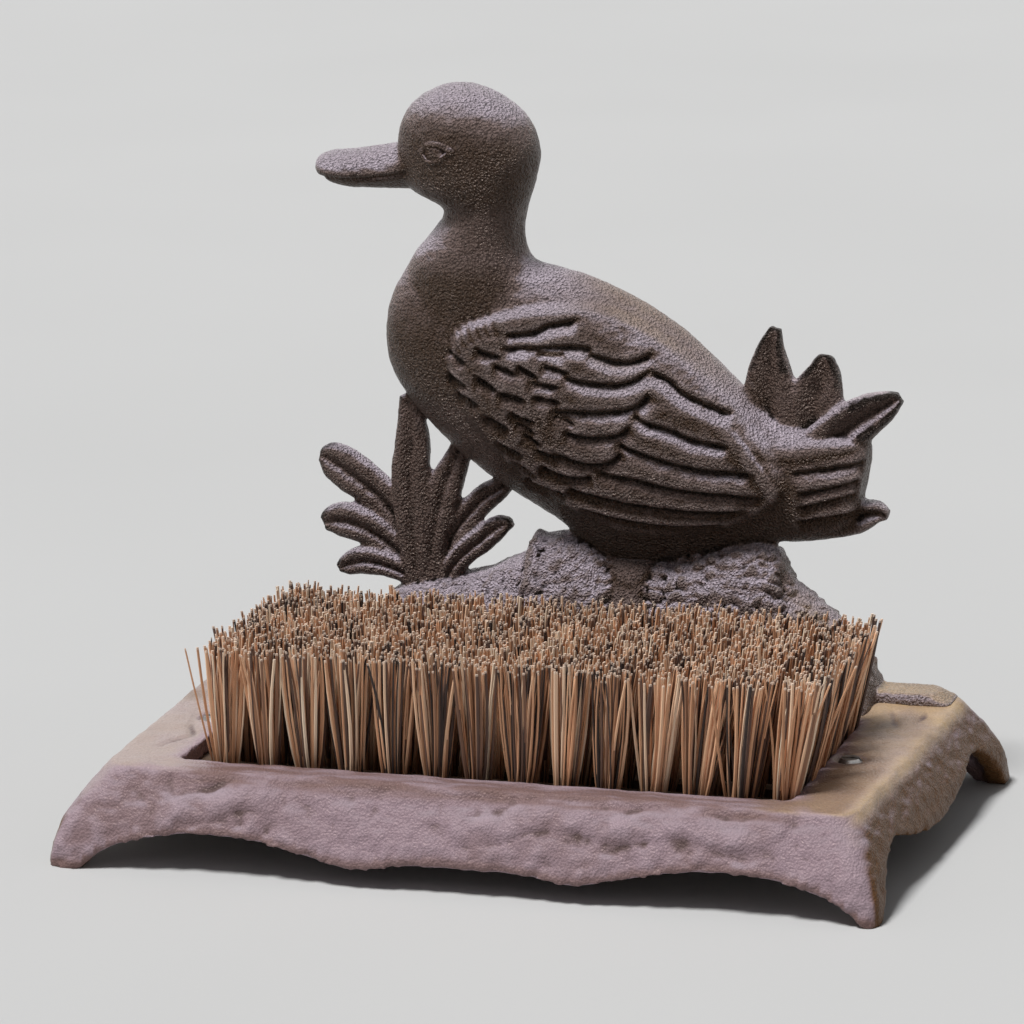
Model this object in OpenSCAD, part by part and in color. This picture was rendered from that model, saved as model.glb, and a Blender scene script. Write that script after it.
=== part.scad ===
// Boot brush: a cast base on four feet, a bristle brush let into its deck, and a cast duck behind it.
// Millimetres. X runs along the front rail, Y towards the back, Z up from the ground.
// The origin is on the ground, in the middle of the four feet.

/* [Base casting] */
// Length of the deck along X
deck_l = 268; // [244:2:320]
// Depth of the deck along Y
deck_d = 144; // [130:2:180]
// Height of the deck top above the ground
deck_z = 34; // [30:1:44]
// Thickness of the deck plate
deck_t = 6; // [4:0.5:8]
// Corner radius of the deck, seen from above
deck_r = 10; // [8:1:20]
// Rounding of the outer deck edge
edge_r = 3; // [2:0.5:6]
// Outward lean of each end skirt from deck to ground
splay_x = 10.5; // [6:0.5:20]
// Outward lean of the front and back skirts
splay_y = 12; // [6:1:20]
// Sideways skew of the toes, front ones to the left and back ones to the right
toe_skew = 3.5; // [0:0.5:6]
// How much further each deck end stands out at the back than in the middle
deck_widen = 2; // [0:0.5:4]
// Wall thickness of the skirts
skirt_t = 7; // [5:0.5:9]
// Width of each toe at the ground
toe_w = 9; // [7:0.5:14]
// Height of the skirt arches beside the toes
arch_h = 14; // [10:0.5:18]
// Height of the scalloped dips between the arches
dip_h = 7; // [4:0.5:10]
// Height of the arches in the end skirts
end_arch_h = 19; // [14:0.5:22]
// Height of the dip in the middle of each end skirt
end_dip_h = 11; // [6:0.5:13]

/* [Brush] */
// Length of the brush opening along X
opening_l = 214; // [190:2:220]
// Corner radius of the brush opening
opening_r = 3; // [1:0.5:6]
// Width of the front rail, from deck edge to opening
front_rail = 12; // [11:0.5:16]
// Width of the back rail that the duck stands on
back_rail = 42; // [38:0.5:46]
// Thickness of the wooden stock
stock_t = 13; // [9:0.5:16]
// Height of the bristle tips above the deck
tip_h = 37.5; // [25:0.5:50]
// Number of tufts in each row
tufts = 14; // [10:1:14]
// Radius of one bristle
strand_r = 0.9; // [0.6:0.1:1]
// Radius of a tuft where it leaves the stock
tuft_r = 2.2; // [2:0.1:2.6]
// Radius of a tuft at its tips
tuft_spread = 5; // [3:0.1:5.2]
// Sideways lean of the tufts at the worn right end, at their tips
end_lean = 7; // [0:0.5:8]
// Offset of the tufts to the right of the middle of the opening
brush_shift = 4.5; // [0:0.5:5]

/* [Duck] */
// Height of the duck and its mound above the deck
figure_h = 212; // [180:1:240]
// Distance of the middle plane of the duck from the back deck edge
figure_set = 12; // [8:0.5:16]
// Length of the foot flange of the duck along X
flange_l = 266; // [236:2:266]
// Depth of the foot flange
flange_d = 17; // [14:0.5:18]
// Thickness of the foot flange
flange_t = 3.5; // [3:0.5:7]
// Depth of the mound where it meets the deck
mound_d = 33; // [28:0.5:34]

/* [Fasteners] */
// Shank diameter of the brush screws
screw_d = 4.5; // [3.5:0.5:5]
// Head diameter of the brush screws
screw_head_d = 9; // [8:0.5:10]
// Length of the brush screws under the head
screw_l = 14; // [10:1:16]
// Distance of the brush screws outside the opening
screw_out = 7; // [6.5:0.5:9]
// Distance of the brush screws behind the middle of the opening
screw_back = 4; // [0:0.5:10]
// Diameter of the duck bolts
bolt_d = 8; // [6:1:10]
// Length of the duck bolts under the head
bolt_l = 24; // [20:1:28]
// Distance between the two duck bolts
bolt_pitch = 110; // [90:2:130]

/* [Hidden] */
$fn = 40;
// Overcut of every hole and pocket
over = 1;
// Thickness of the thin slices that the base casting is drawn from
slice = 0.2;
// Sides of the round cross sections of the duck
sides = 20;
// Sides of the cross sections of leaves and feathers
leaf_sides = 8;

// Base casting
foot_l = deck_l + 2 * splay_x;
foot_d = deck_d + 2 * splay_y;
foot_r = deck_r / 2;
under_z = deck_z - deck_t;
shoulder_z = deck_z - edge_r;
skirt_slices = 4;
opening_d = deck_d - front_rail - back_rail;
opening_y = (front_rail - back_rail) / 2;
arch_l = foot_l / 2 - toe_w;
arch_d = foot_d / 2 - toe_w;
// Half scallop of the front and back skirts: share of the half length, height
FRONT_SCALLOP = [[1, 0], [0.95, arch_h * 0.45], [0.87, arch_h * 0.75], [0.73, arch_h], [0.58, arch_h],
                 [0.43, (arch_h + dip_h) / 2], [0.28, dip_h], [0.15, dip_h * 1.3], [0, dip_h * 1.35]];
// Half scallop of the end skirts
END_SCALLOP = [[1, 0], [0.9, end_arch_h * 0.5], [0.76, end_arch_h * 0.9], [0.6, end_arch_h],
               [0.4, (end_arch_h + end_dip_h) / 2], [0.2, end_dip_h * 1.1], [0, end_dip_h]];
scallop_steps = 4;

// Brush
rows = 6;
stock_gap = 1;
stock_l = deck_l - 2 * deck_widen - 2 * skirt_t - 2 * stock_gap;
stock_lap = front_rail - skirt_t - stock_gap;
stock_d = opening_d + 2 * stock_lap;
stock_z = under_z - stock_t;
tuft_gap = 3;
row_pitch = (opening_d - 2 * tuft_spread - 2 * tuft_gap) / (rows - 1);
tuft_pitch = (opening_l - 2 * tuft_spread - 2 * brush_shift) / (tufts - 1);
strip_d = 4 * tuft_r;
strip_l = tuft_pitch * (tufts - 1) + strip_d;
strip_x = brush_shift - strip_l / 2;
strip_t = 3;
strip_z = under_z - strip_t;
strip_fit = 0.1;
root = 1;
// Bristles round each tuft, besides the one in its middle
ring = 4;
// Unevenness of the bristle lengths
ragged = 1.5;

// Fasteners
hole_fit = 0.5;
thread_fit = 0.2;
screw_x = opening_l / 2 + screw_out;
screw_y = opening_y + screw_back;
screw_head_h = 2;
seat_room = 0.5;
seat_d = screw_head_d + 2 * seat_room;
seat_h = 2;
seat_flare = 1;
seat_cut_d = seat_d + 2 * seat_flare * (1 + over / seat_h);
screw_tip_z = deck_z - seat_h - screw_l;
slot_w = 1.2;
slot_h = 1;
bolt_head_h = 0.66 * bolt_d;
bolt_head_af = 1.62 * bolt_d;
washer_d = 2 * bolt_d;
washer_t = 0.2 * bolt_d;
tap_spare = 2;
tap_l = bolt_l - deck_t - washer_t + tap_spare;

// Duck
figure_y = deck_d / 2 - figure_set;
flange_y = deck_d / 2 - edge_r - flange_d / 2;
flange_r = flange_d / 4;
flange_slope = 2;
flange_run = 6;
mound_y = deck_d / 2 - edge_r - mound_d / 2;
bolt_y = mound_y;
// Sections of the body from breast to tail: top x, top z, bottom x, bottom z, half thickness.
// Heights of the duck count from the deck.
BODY = [[-69.5, 127, -69.5, 119, 2], [-66.5, 138, -67, 109, 10], [-59, 149, -61, 99, 15.5],
        [-43, 153, -48, 85, 19], [-20, 151, -31, 71.5, 21], [5, 145.5, -8, 58, 21],
        [27, 135.5, 12, 44, 20], [42, 125, 38, 46, 18], [56, 111, 60, 53, 15],
        [70, 98, 78, 54, 12.5], [88, 94, 92, 56, 10.5], [103, 94, 99, 60, 9], [105, 88, 101, 72, 5]];
// Sections of the neck and head from the back up to the crown
HEAD = [[-62, 134, -10, 138, 18], [-59.5, 150, -16, 150, 17.5], [-53, 158, -18.5, 156.5, 16.5],
        [-47.5, 165, -18.5, 163, 15.5], [-46, 169, -17, 169, 15.5], [-52.5, 172, -15.5, 173, 17],
        [-59.5, 175.5, -13.5, 179, 18.5], [-62, 183, -12, 186, 19.5], [-63, 191, -12.5, 192, 19.5],
        [-61.5, 198.5, -15.5, 199, 18.5], [-57, 205.5, -21.5, 205, 15.5], [-50, 210, -30.5, 210, 10],
        [-44, 212, -37.5, 212, 3]];
// Sections of the bill from tip to face
BILL = [[-93.7, 183.5, -93.7, 180.5, 2], [-92, 185.5, -92, 178.5, 6.5], [-88, 187, -88, 176, 10],
        [-80, 187.8, -80, 174.5, 11], [-70, 189.3, -70, 174.3, 10], [-62, 190.5, -60, 174.5, 10.5],
        [-54, 190, -54, 174, 10]];
// Middle lines of the larger wing feathers, drawn on the side of the body: coverts, then flight feathers
COVERTS = [[[-40, 121], [-36, 126], [-28, 130], [-16, 132.5], [-4, 134.5], [6, 134]],
           [[-22, 123.5], [-10, 126], [0, 128.5], [8, 129.5], [16, 128], [30, 124]],
           [[3, 120], [12, 116.5], [20, 115], [27, 116], [32, 119.5]],
           [[1, 111], [8, 107.5], [16, 106], [24, 106.5], [28, 109]],
           [[-9, 100], [0, 99], [8, 97], [16, 97], [22, 98.5]],
           [[-3, 87.5], [3, 88], [8, 88.5], [14, 88], [19, 89]],
           [[-10, 85], [-4, 83.5], [3, 81.5], [9, 80.5]],
           [[-16, 79], [-10, 78], [-3, 75.5], [2, 74.5]]];
FLIGHT = [[[28, 113], [34, 112.5], [40, 109], [46, 106], [54, 102.5]],
          [[27, 104], [33, 104], [42, 100.5], [52, 97], [62, 94]],
          [[22, 93.5], [28, 93.5], [38, 90], [50, 87.5], [60, 86.5], [69, 85.5]],
          [[15, 85], [22, 85.5], [32, 81.5], [44, 78.5], [58, 77.5], [72, 78]],
          [[8, 76.5], [15, 77], [26, 73.5], [38, 71], [52, 70.5], [66, 71.5], [74, 74]],
          [[0, 70.5], [10, 69.5], [24, 66.5], [38, 64.8], [52, 64.5], [64, 66]],
          [[8, 63.5], [24, 61], [40, 59.2], [56, 60]],
          [[60, 97], [64, 92.5], [69, 87], [73, 82], [76, 78]]];
feather_w = 3.8;
feather_t = 2.6;
// Tail feathers: x, z, distance from the middle plane, half width, half thickness along the feather
TAIL = [[[68, 92, 2, 9, 6], [68, 110, 3, 8.5, 5], [68.5, 121, 3.5, 5, 4], [70.5, 129, 3.5, 2, 2.5]],
        [[82, 84, 2, 11, 6], [84, 102, 3, 10.5, 5], [87, 113, 3.5, 6.5, 4], [88, 120, 3.5, 2.5, 2.5]],
        [[88, 88, 0, 9, 7], [100, 98, 0, 8, 6], [109, 103.5, 0, 5.5, 5], [115, 107, 0, 2, 3]],
        [[86, 62, 0, 6, 7], [98, 64, 0, 6, 6], [106, 66, 0, 4, 5], [110.5, 65, 0, 1.5, 3]]];
// Leaves of the water plant, from root to tip
LEAVES = [[[-61, 42, 0, 4, 4], [-72, 61, -1, 6, 4], [-84, 71, -2, 7.5, 4], [-92, 76, -2, 6.5, 3.5],
           [-96.5, 77.5, -2, 2.5, 2]],
          [[-60, 38, -2, 3, 4], [-72, 48, -3, 5, 4], [-82, 53.5, -4, 6.5, 4], [-90, 54.5, -4, 6, 3.5],
           [-95.5, 53, -4, 3, 2]],
          [[-58, 34, -4, 3, 4], [-70, 39, -5, 4.5, 4], [-80, 40.5, -5, 5, 4], [-86.5, 38.5, -5, 4, 3],
           [-90, 37, -5, 1.5, 2]],
          [[-59, 30, -5, 4, 4], [-61, 51, -5, 6, 4], [-62, 71, -4, 7, 4], [-61, 86, -3, 6, 4],
           [-62.5, 101, -2, 3, 3]],
          [[-57, 32, -4, 4, 4], [-53, 54, -4, 5.5, 4], [-49, 69, -3, 6, 4], [-45, 79, -2, 4.5, 3.5],
           [-43, 86, -1, 2.5, 3]],
          [[-55, 34, -2, 3, 4], [-46, 52, -2, 4.5, 4], [-37, 63, -1, 5, 4], [-30, 68, -1, 4, 3.5],
           [-25, 71, 0, 1.5, 2.5]],
          [[-52, 32, -4, 3, 4], [-44, 43, -5, 4, 4], [-36, 50, -5, 4.5, 4], [-29, 55.5, -5, 4, 3],
           [-24, 57, -5, 1.5, 2]]];
// Crest of the rocky mound: x, height above the deck
CREST = [[-92, 3], [-86, 8], [-76, 24], [-68, 32], [-56, 36], [-45, 38], [-34, 41], [-25, 45], [-19, 48],
         [-16, 55], [-12, 54], [-5, 55], [4, 53], [16, 48], [30, 48], [48, 52], [62, 56], [72, 53], [77, 43],
         [84, 37], [91, 31], [97, 25], [102, 17], [105, 9], [107, 2]];
crest_back = 3;
crest_lean = figure_y - mound_y - crest_back;
EYE = [-44.5, 191];
eye_r = 3.2;
eye_out = 17;
body_steps = 2;
leaf_steps = 2;
feather_sides = 6;

// Smooth curve through a list of stations
function held(p, i) = p[max(0, min(len(p) - 1, i))];
function bend(a, b, c, d, t) =
    (2 * b + (c - a) * t + (2 * a - 5 * b + 4 * c - d) * t * t + (3 * b - a - 3 * c + d) * t * t * t) / 2;
function smooth(p, n) = concat(
    [for (i = [0 : len(p) - 2], s = [0 : n - 1]) bend(held(p, i - 1), p[i], p[i + 1], held(p, i + 2), s / n)],
    [p[len(p) - 1]]);

// Oval ring of a body section, at a distance from the middle plane
function oval(s, n, y) = [for (k = [0 : n - 1]) let (a = 360 * k / n)
    [(s[0] + s[2]) / 2 + (s[0] - s[2]) / 2 * cos(a), y + s[4] * sin(a),
     (s[1] + s[3]) / 2 + (s[1] - s[3]) / 2 * cos(a)]];

// Half thickness of the body at a point of its middle plane: the section there, then its oval
function off_chord(s, p) = (p[0] - s[2]) * (s[1] - s[3]) - (p[1] - s[3]) * (s[0] - s[2]);
function section_at(p) = [for (i = [0 : len(BODY) - 2]) let (
    a = off_chord(BODY[i], p), b = off_chord(BODY[i + 1], p))
    if (a * b <= 0 && a != b) BODY[i] + (BODY[i + 1] - BODY[i]) * a / (a - b)][0];
function half_chord(s) = [s[0] - s[2], s[1] - s[3]] / 2;
function chord_middle(s) = [s[0] + s[2], s[1] + s[3]] / 2;
function chord_share(s, p) = (p - chord_middle(s)) * half_chord(s) / (half_chord(s) * half_chord(s));
function side_y(s, p) = s[4] * sqrt(max(0, 1 - pow(chord_share(s, p), 2)));

// Stations of a feather on one side of the body, narrow at both ends
function on_side(line, side) = let (n = len(line) - 1)
    [for (i = [0 : n]) let (p = line[i], share = 0.5 + 0.5 * sin(180 * i / n))
        [p[0], p[1], side * side_y(section_at(p), p), feather_w * share, feather_t * share]];

// Oval rings square to the line of a leaf or feather
function leaf_rings(p, leaf_sides = leaf_sides) = [for (i = [0 : len(p) - 1]) let (
    a = held(p, i - 1), b = held(p, i + 1), t = [b[0] - a[0], b[1] - a[1]] / norm([b[0] - a[0], b[1] - a[1]]),
    s = p[i])
    [for (k = [0 : leaf_sides - 1]) let (u = 360 * k / leaf_sides)
        [s[0] - t[1] * s[3] * cos(u), s[2] + s[4] * sin(u), s[1] + t[0] * s[3] * cos(u)]]];

// Domed ring of the mound across its ridge
function dome(c) = [for (k = [0 : leaf_sides]) let (a = 180 * k / leaf_sides)
    [c[0], mound_y - figure_y - mound_d / 2 * cos(a) + crest_lean * sin(a), c[1] * pow(sin(a), 0.7)]];

// Closed skin over a row of rings
module skin(rings) {
    n = len(rings[0]);
    m = len(rings);
    walls = [for (i = [0 : m - 2], k = [0 : n - 1], h = [0, 1]) let (j = (k + 1) % n)
        h == 0 ? [i * n + k, i * n + j, i * n + n + j] : [i * n + k, i * n + n + j, i * n + n + k]];
    ends = [[for (k = [n - 1 : -1 : 0]) k], [for (k = [0 : n - 1]) (m - 1) * n + k]];
    polyhedron([for (r = rings, p = r) p], concat(walls, ends));
}

module plan(l, d, r) {
    square([l - 2 * r, d], center = true);
    square([l, d - 2 * r], center = true);
    for (x = [-1, 1], y = [-1, 1])
        translate([x * (l / 2 - r), y * (d / 2 - r)])
            circle(r);
}

// Four thin corner posts, for a hull; skew moves the front pair left and the back pair right,
// and widen brings the front pair closer together than the back pair
module slab(l, d, r, z, skew, widen) {
    for (x = [-1, 1], y = [-1, 1])
        translate([x * (l / 2 - r + y * widen) + y * skew, y * (d / 2 - r), z])
            cylinder(r = r, h = slice, $fn = 32);
}

// Share of the splay that the bulging skirts have reached at a height
function flare(z) = 1 - pow(max(0, min(1, z / shoulder_z)), 2);
function skirt_r(z) = deck_r - (deck_r - foot_r) * flare(z);

module skirt_slab(z, wall) {
    slab(deck_l + 2 * splay_x * flare(z) - 2 * wall, deck_d + 2 * splay_y * flare(z) - 2 * wall,
         max(skirt_r(z) - wall, wall / 2), z, toe_skew * flare(z), deck_widen * (1 - flare(z)));
}

module base_shell() {
    hull() {
        for (i = [0 : skirt_slices])
            skirt_slab(shoulder_z * i / skirt_slices, 0);
        for (a = [0 : 30 : 90]) {
            cut = edge_r * (1 - cos(a));
            slab(deck_l - 2 * cut, deck_d - 2 * cut, deck_r - cut, deck_z - edge_r * (1 - sin(a)) - slice,
                 0, deck_widen);
        }
    }
}

module base_hollow() {
    hull() {
        for (i = [0 : skirt_slices])
            skirt_slab((under_z - slice) * i / skirt_slices, skirt_t);
        translate([0, 0, -over])
            skirt_slab(0, skirt_t);
    }
}

// Scalloped cut under a pair of skirts, drawn across the part
module scallop(half, span, through) {
    line = smooth(half, scallop_steps);
    right = [for (p = line) [p[0] * span, p[1]]];
    left = [for (i = [len(line) - 2 : -1 : 0]) [-line[i][0] * span, line[i][1]]];
    rotate([90, 0, 0])
        linear_extrude(through, center = true)
            polygon(concat([[span, -over]], right, left, [[-span, -over]]));
}

module base_frame() {
    color([0.30, 0.25, 0.23])
        difference() {
            base_shell();
            base_hollow();
            scallop(FRONT_SCALLOP, arch_l, foot_d + over);
            rotate([0, 0, 90])
                scallop(END_SCALLOP, arch_d, foot_l + 2 * toe_skew + over);
            translate([0, opening_y, under_z - over])
                linear_extrude(deck_t + 2 * over)
                    plan(opening_l, opening_d, opening_r);
            for (x = [-1, 1]) {
                translate([x * screw_x, screw_y, under_z - over])
                    cylinder(d = screw_d + hole_fit, h = deck_t + 2 * over);
                translate([x * screw_x, screw_y, deck_z - seat_h])
                    cylinder(d1 = seat_d, d2 = seat_cut_d, h = seat_h + over);
                translate([x * bolt_pitch / 2, bolt_y, under_z - over])
                    cylinder(d = bolt_d + hole_fit, h = deck_t + 2 * over);
            }
        }
}

module duck_skin() {
    skin([for (s = smooth(BODY, body_steps)) oval(s, sides, 0)]);
    skin([for (s = smooth(HEAD, body_steps)) oval(s, sides, 0)]);
    skin([for (s = smooth(BILL, body_steps)) oval(s, leaf_sides * 2, 0)]);
    for (side = [-1, 1]) {
        for (line = concat(COVERTS, FLIGHT))
            skin(leaf_rings(on_side(line, side), feather_sides));
        translate([EYE[0], side * eye_out, EYE[1]])
            sphere(eye_r, $fn = leaf_sides * 2);
    }
    for (feather = TAIL)
        skin(leaf_rings(smooth(feather, leaf_steps)));
    for (leaf = LEAVES)
        skin(leaf_rings(smooth(leaf, leaf_steps)));
    skin([for (c = smooth(CREST, body_steps)) dome(c)]);
    translate([0, flange_y - figure_y, 0])
        hull() {
            linear_extrude(slice)
                plan(flange_l, flange_d, flange_r);
            translate([0, 0, flange_t - slice])
                linear_extrude(slice)
                    plan(flange_l - 2 * flange_run, flange_d - 2 * flange_slope, flange_r);
        }
}

module duck_figure() {
    color([0.33, 0.27, 0.25])
        difference() {
            translate([0, figure_y, deck_z])
                resize([0, 0, figure_h])
                    duck_skin();
            for (x = [-1, 1])
                translate([x * bolt_pitch / 2, bolt_y, deck_z - over])
                    cylinder(d = bolt_d + thread_fit, h = tap_l + over);
        }
}

module brush_stock() {
    color([0.55, 0.40, 0.26])
        difference() {
            translate([-stock_l / 2, opening_y - stock_d / 2, stock_z])
                cube([stock_l, stock_d, stock_t]);
            for (i = [1 : rows])
                translate([strip_x - strip_fit, row_y(i) - strip_d / 2 - strip_fit, strip_z])
                    cube([strip_l + 2 * strip_fit, strip_d + 2 * strip_fit, strip_t + over]);
            for (x = [-1, 1])
                translate([x * screw_x, screw_y, screw_tip_z - hole_fit])
                    cylinder(d = screw_d + thread_fit, h = under_z + over - screw_tip_z);
        }
}

function row_y(i) = opening_y + (i - (rows + 1) / 2) * row_pitch;
function tuft_x(j) = brush_shift + (j - (tufts + 1) / 2) * tuft_pitch;
function lean_x(j) = end_lean * pow((j - 1) / (tufts - 1), 2);
function tip_z(i, j, k) = deck_z + tip_h + ragged * sin(i * 131 + j * 77 + k * 59);

// One three sided bristle from its root to its tip
module strand(foot, tip, turn) {
    corner = [for (c = [0 : 2]) strand_r * [cos(turn + 120 * c), sin(turn + 120 * c), 0]];
    polyhedron([for (p = [foot, tip], c = corner) p + c],
               [[0, 1, 2], [3, 5, 4], [0, 4, 1], [0, 3, 4], [1, 5, 2], [1, 4, 5], [2, 3, 0], [2, 5, 3]]);
}

module bristle_row(i) {
    color([0.50, 0.37, 0.25])
        union() {
            translate([strip_x, row_y(i) - strip_d / 2, strip_z])
                cube([strip_l, strip_d, strip_t]);
            for (j = [1 : tufts], k = [0 : ring]) {
                turn = 360 * k / ring + 45 * (j % 2);
                out = k == ring ? 0 : 1;
                at = [tuft_x(j), row_y(i), 0];
                way = out * [cos(turn), sin(turn), 0];
                strand(at + tuft_r * way + [0, 0, under_z - root],
                       at + tuft_spread * way + [lean_x(j), 0, tip_z(i, j, k)], turn);
            }
        }
}

module brush_screws() {
    color([0.72, 0.72, 0.70])
        for (x = [-1, 1])
            translate([x * screw_x, screw_y, deck_z - seat_h])
                difference() {
                    union() {
                        cylinder(d1 = screw_head_d, d2 = screw_head_d * 0.7, h = screw_head_h);
                        translate([0, 0, -screw_l])
                            cylinder(d = screw_d, h = screw_l + over);
                    }
                    translate([-screw_head_d / 2, -slot_w / 2, screw_head_h - slot_h])
                        cube([screw_head_d, slot_w, slot_h + over]);
                }
}

module duck_bolts() {
    color([0.60, 0.60, 0.60])
        for (x = [-1, 1])
            translate([x * bolt_pitch / 2, bolt_y, under_z - washer_t]) {
                translate([0, 0, -bolt_head_h])
                    cylinder(d = bolt_head_af * 2 / sqrt(3), h = bolt_head_h, $fn = 6);
                translate([0, 0, -over])
                    cylinder(d = bolt_d, h = bolt_l + over);
            }
}

module duck_washers() {
    color([0.65, 0.65, 0.65])
        for (x = [-1, 1])
            translate([x * bolt_pitch / 2, bolt_y, under_z - washer_t])
                difference() {
                    cylinder(d = washer_d, h = washer_t);
                    translate([0, 0, -over])
                        cylinder(d = bolt_d + hole_fit, h = washer_t + 2 * over);
                }
}

base_frame();
duck_figure();
brush_stock();
bristle_row(1);  // bristle_row_1
bristle_row(2);  // bristle_row_2
bristle_row(3);  // bristle_row_3
bristle_row(4);  // bristle_row_4
bristle_row(5);  // bristle_row_5
bristle_row(6);  // bristle_row_6
brush_screws();
duck_bolts();
duck_washers();
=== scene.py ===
# %% [markdown]
# # Boot brush with a cast duck
# A low iron base on four toes carries a block of stiff bristles for cleaning boots.
# A cast duck stands on a rocky mound behind the bristles, beside a water plant.
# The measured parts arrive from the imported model, in metres, with Z up and the origin on the ground.
# This script gives them their real surface: feathers, rims, rough casting skin,
# and about five thousand bristles.

# %% Load the measured parts
import math
import bmesh
import bpy
import numpy as np
from mathutils import Matrix, Vector, noise


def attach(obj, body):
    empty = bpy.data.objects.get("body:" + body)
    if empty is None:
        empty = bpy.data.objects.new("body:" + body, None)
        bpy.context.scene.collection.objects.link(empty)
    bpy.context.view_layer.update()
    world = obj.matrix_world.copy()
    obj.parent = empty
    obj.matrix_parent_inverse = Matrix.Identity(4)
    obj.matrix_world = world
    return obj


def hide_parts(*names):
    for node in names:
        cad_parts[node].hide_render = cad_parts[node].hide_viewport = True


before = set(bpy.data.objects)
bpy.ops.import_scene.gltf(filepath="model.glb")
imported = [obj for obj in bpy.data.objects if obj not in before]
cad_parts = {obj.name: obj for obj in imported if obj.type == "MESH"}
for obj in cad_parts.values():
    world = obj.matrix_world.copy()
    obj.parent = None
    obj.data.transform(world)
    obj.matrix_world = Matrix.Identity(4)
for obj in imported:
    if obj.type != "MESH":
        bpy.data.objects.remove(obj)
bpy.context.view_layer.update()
MM = 0.001
print("parts:", sorted(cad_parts))

# %% [markdown]
# The duck is drawn as sections, the way a pattern maker would cut templates for a carving.
# A smooth curve runs through the sections, and a closed skin goes over the rings that it gives.
# Sculpting would do as well, but a section can be measured, and changed without touching the others.

# %% Curves and skins
def smooth(stations, steps):
    """More rows between the given rows, on a curve that passes through each of them."""
    p = np.array(stations, float)
    rows = []
    for i in range(len(p) - 1):
        a, b, c, d = p[max(i - 1, 0)], p[i], p[i + 1], p[min(i + 2, len(p) - 1)]
        for t in np.arange(steps) / steps:
            rows.append((2 * b + (c - a) * t + (2 * a - 5 * b + 4 * c - d) * t ** 2
                         + (3 * b - a - 3 * c + d) * t ** 3) / 2)
    return np.array(rows + [p[-1]])


def skin(rings):
    """Vertices and faces of a closed skin over a row of rings."""
    rings = np.asarray(rings)
    m, n = rings.shape[:2]
    faces = [(i * n + k, i * n + (k + 1) % n, (i + 1) * n + (k + 1) % n, (i + 1) * n + k)
             for i in range(m - 1) for k in range(n)]
    faces += [tuple(range(n - 1, -1, -1)), tuple((m - 1) * n + k for k in range(n))]
    return rings.reshape(-1, 3), faces


# %% Objects and their modifiers
def make_object(name, skins):
    """One object from several skins, drawn in millimetres."""
    points, faces, start = [], [], 0
    for p, f in skins:
        points.append(p)
        faces += [tuple(start + i for i in face) for face in f]
        start += len(p)
    mesh = bpy.data.meshes.new(name)
    mesh.from_pydata((np.concatenate(points) * MM).tolist(), [], faces)
    obj = bpy.data.objects.new(name, mesh)
    bpy.context.scene.collection.objects.link(obj)
    return obj


def settle(obj):
    """Turns the live modifiers of an object into a plain mesh."""
    depsgraph = bpy.context.evaluated_depsgraph_get()
    mesh = bpy.data.meshes.new_from_object(obj.evaluated_get(depsgraph))
    obj.modifiers.clear()
    obj.data = mesh
    return obj


def fuse(obj, voxel, rounds):
    """Melts overlapping skins into one closed surface, then rounds its edges."""
    melt = obj.modifiers.new("melt", "REMESH")
    melt.mode = "VOXEL"
    melt.voxel_size = voxel * MM
    rounding = obj.modifiers.new("rounding", "SMOOTH")
    rounding.factor = 0.5
    rounding.iterations = rounds
    return settle(obj)


# %% [markdown]
# The body and the head are oval sections that lean as the duck leans.
# Each row holds the top point, the bottom point and half the thickness.
# Sizes are in millimetres, and the heights of the sections count from the deck.
# The neck leaves the breast at an angle that one run of sections can't follow, so body and head are
# two runs, melted together and rounded. The bill is a third run, which starts at its tip.

# %% Body, head and bill
DECK = 34.0
MIDDLE = 60.0
CORE_VOXEL, CORE_ROUNDS = 1.4, 24
BODY = [[-69.5, 127, -69.5, 119, 2], [-66.5, 138, -67, 109, 10], [-59, 149, -61, 99, 15.5],
        [-43, 153, -48, 85, 18.5], [-20, 151, -31, 71.5, 20.5], [5, 145.5, -8, 58, 20.5],
        [27, 135.5, 12, 44, 19.5], [42, 125, 38, 46, 17.5], [56, 111, 60, 53, 15],
        [70, 98, 78, 54, 12.5], [88, 94, 92, 56, 10.5], [103, 94, 99, 60, 9], [105, 88, 101, 72, 5]]
HEAD = [[-62, 134, -10, 138, 18], [-59.5, 150, -16, 150, 17.5], [-53, 158, -18.5, 156.5, 16.5],
        [-47.5, 165, -18.5, 163, 15.5], [-46, 169, -17, 169, 15.5], [-52.5, 172, -15.5, 173, 17],
        [-59.5, 175.5, -13.5, 179, 18.5], [-62, 183, -12, 186, 19.5], [-63, 191, -12.5, 192, 19.5],
        [-61.5, 198.5, -15.5, 199, 18.5], [-57, 205.5, -21.5, 205, 15.5], [-50, 210, -30.5, 210, 10],
        [-44, 212, -37.5, 212, 3]]
BILL = [[-93.7, 183.5, -93.7, 180.5, 2], [-92, 185.5, -92, 178.5, 6.5], [-88, 187, -88, 176, 10],
        [-80, 187.8, -80, 174.5, 11], [-70, 189.3, -70, 174.3, 10], [-62, 190.5, -60, 174.5, 10.5],
        [-54, 190, -54, 174, 10]]


def oval_rings(stations, steps=6, sides=48):
    """Oval rings across the middle plane of the duck."""
    turn = np.linspace(0, 2 * math.pi, sides, endpoint=False)
    rings = []
    for xt, zt, xb, zb, half in smooth(stations, steps):
        rings.append(np.stack([(xt + xb) / 2 + (xt - xb) / 2 * np.cos(turn),
                               MIDDLE + half * np.sin(turn),
                               DECK + (zt + zb) / 2 + (zt - zb) / 2 * np.cos(turn)], 1))
    return rings


core = make_object("duck_core", [skin(oval_rings(s)) for s in (BODY, HEAD)])
fuse(core, CORE_VOXEL, CORE_ROUNDS)
bill = skin(oval_rings(BILL))
print("duck core:", len(core.data.polygons), "faces")

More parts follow.
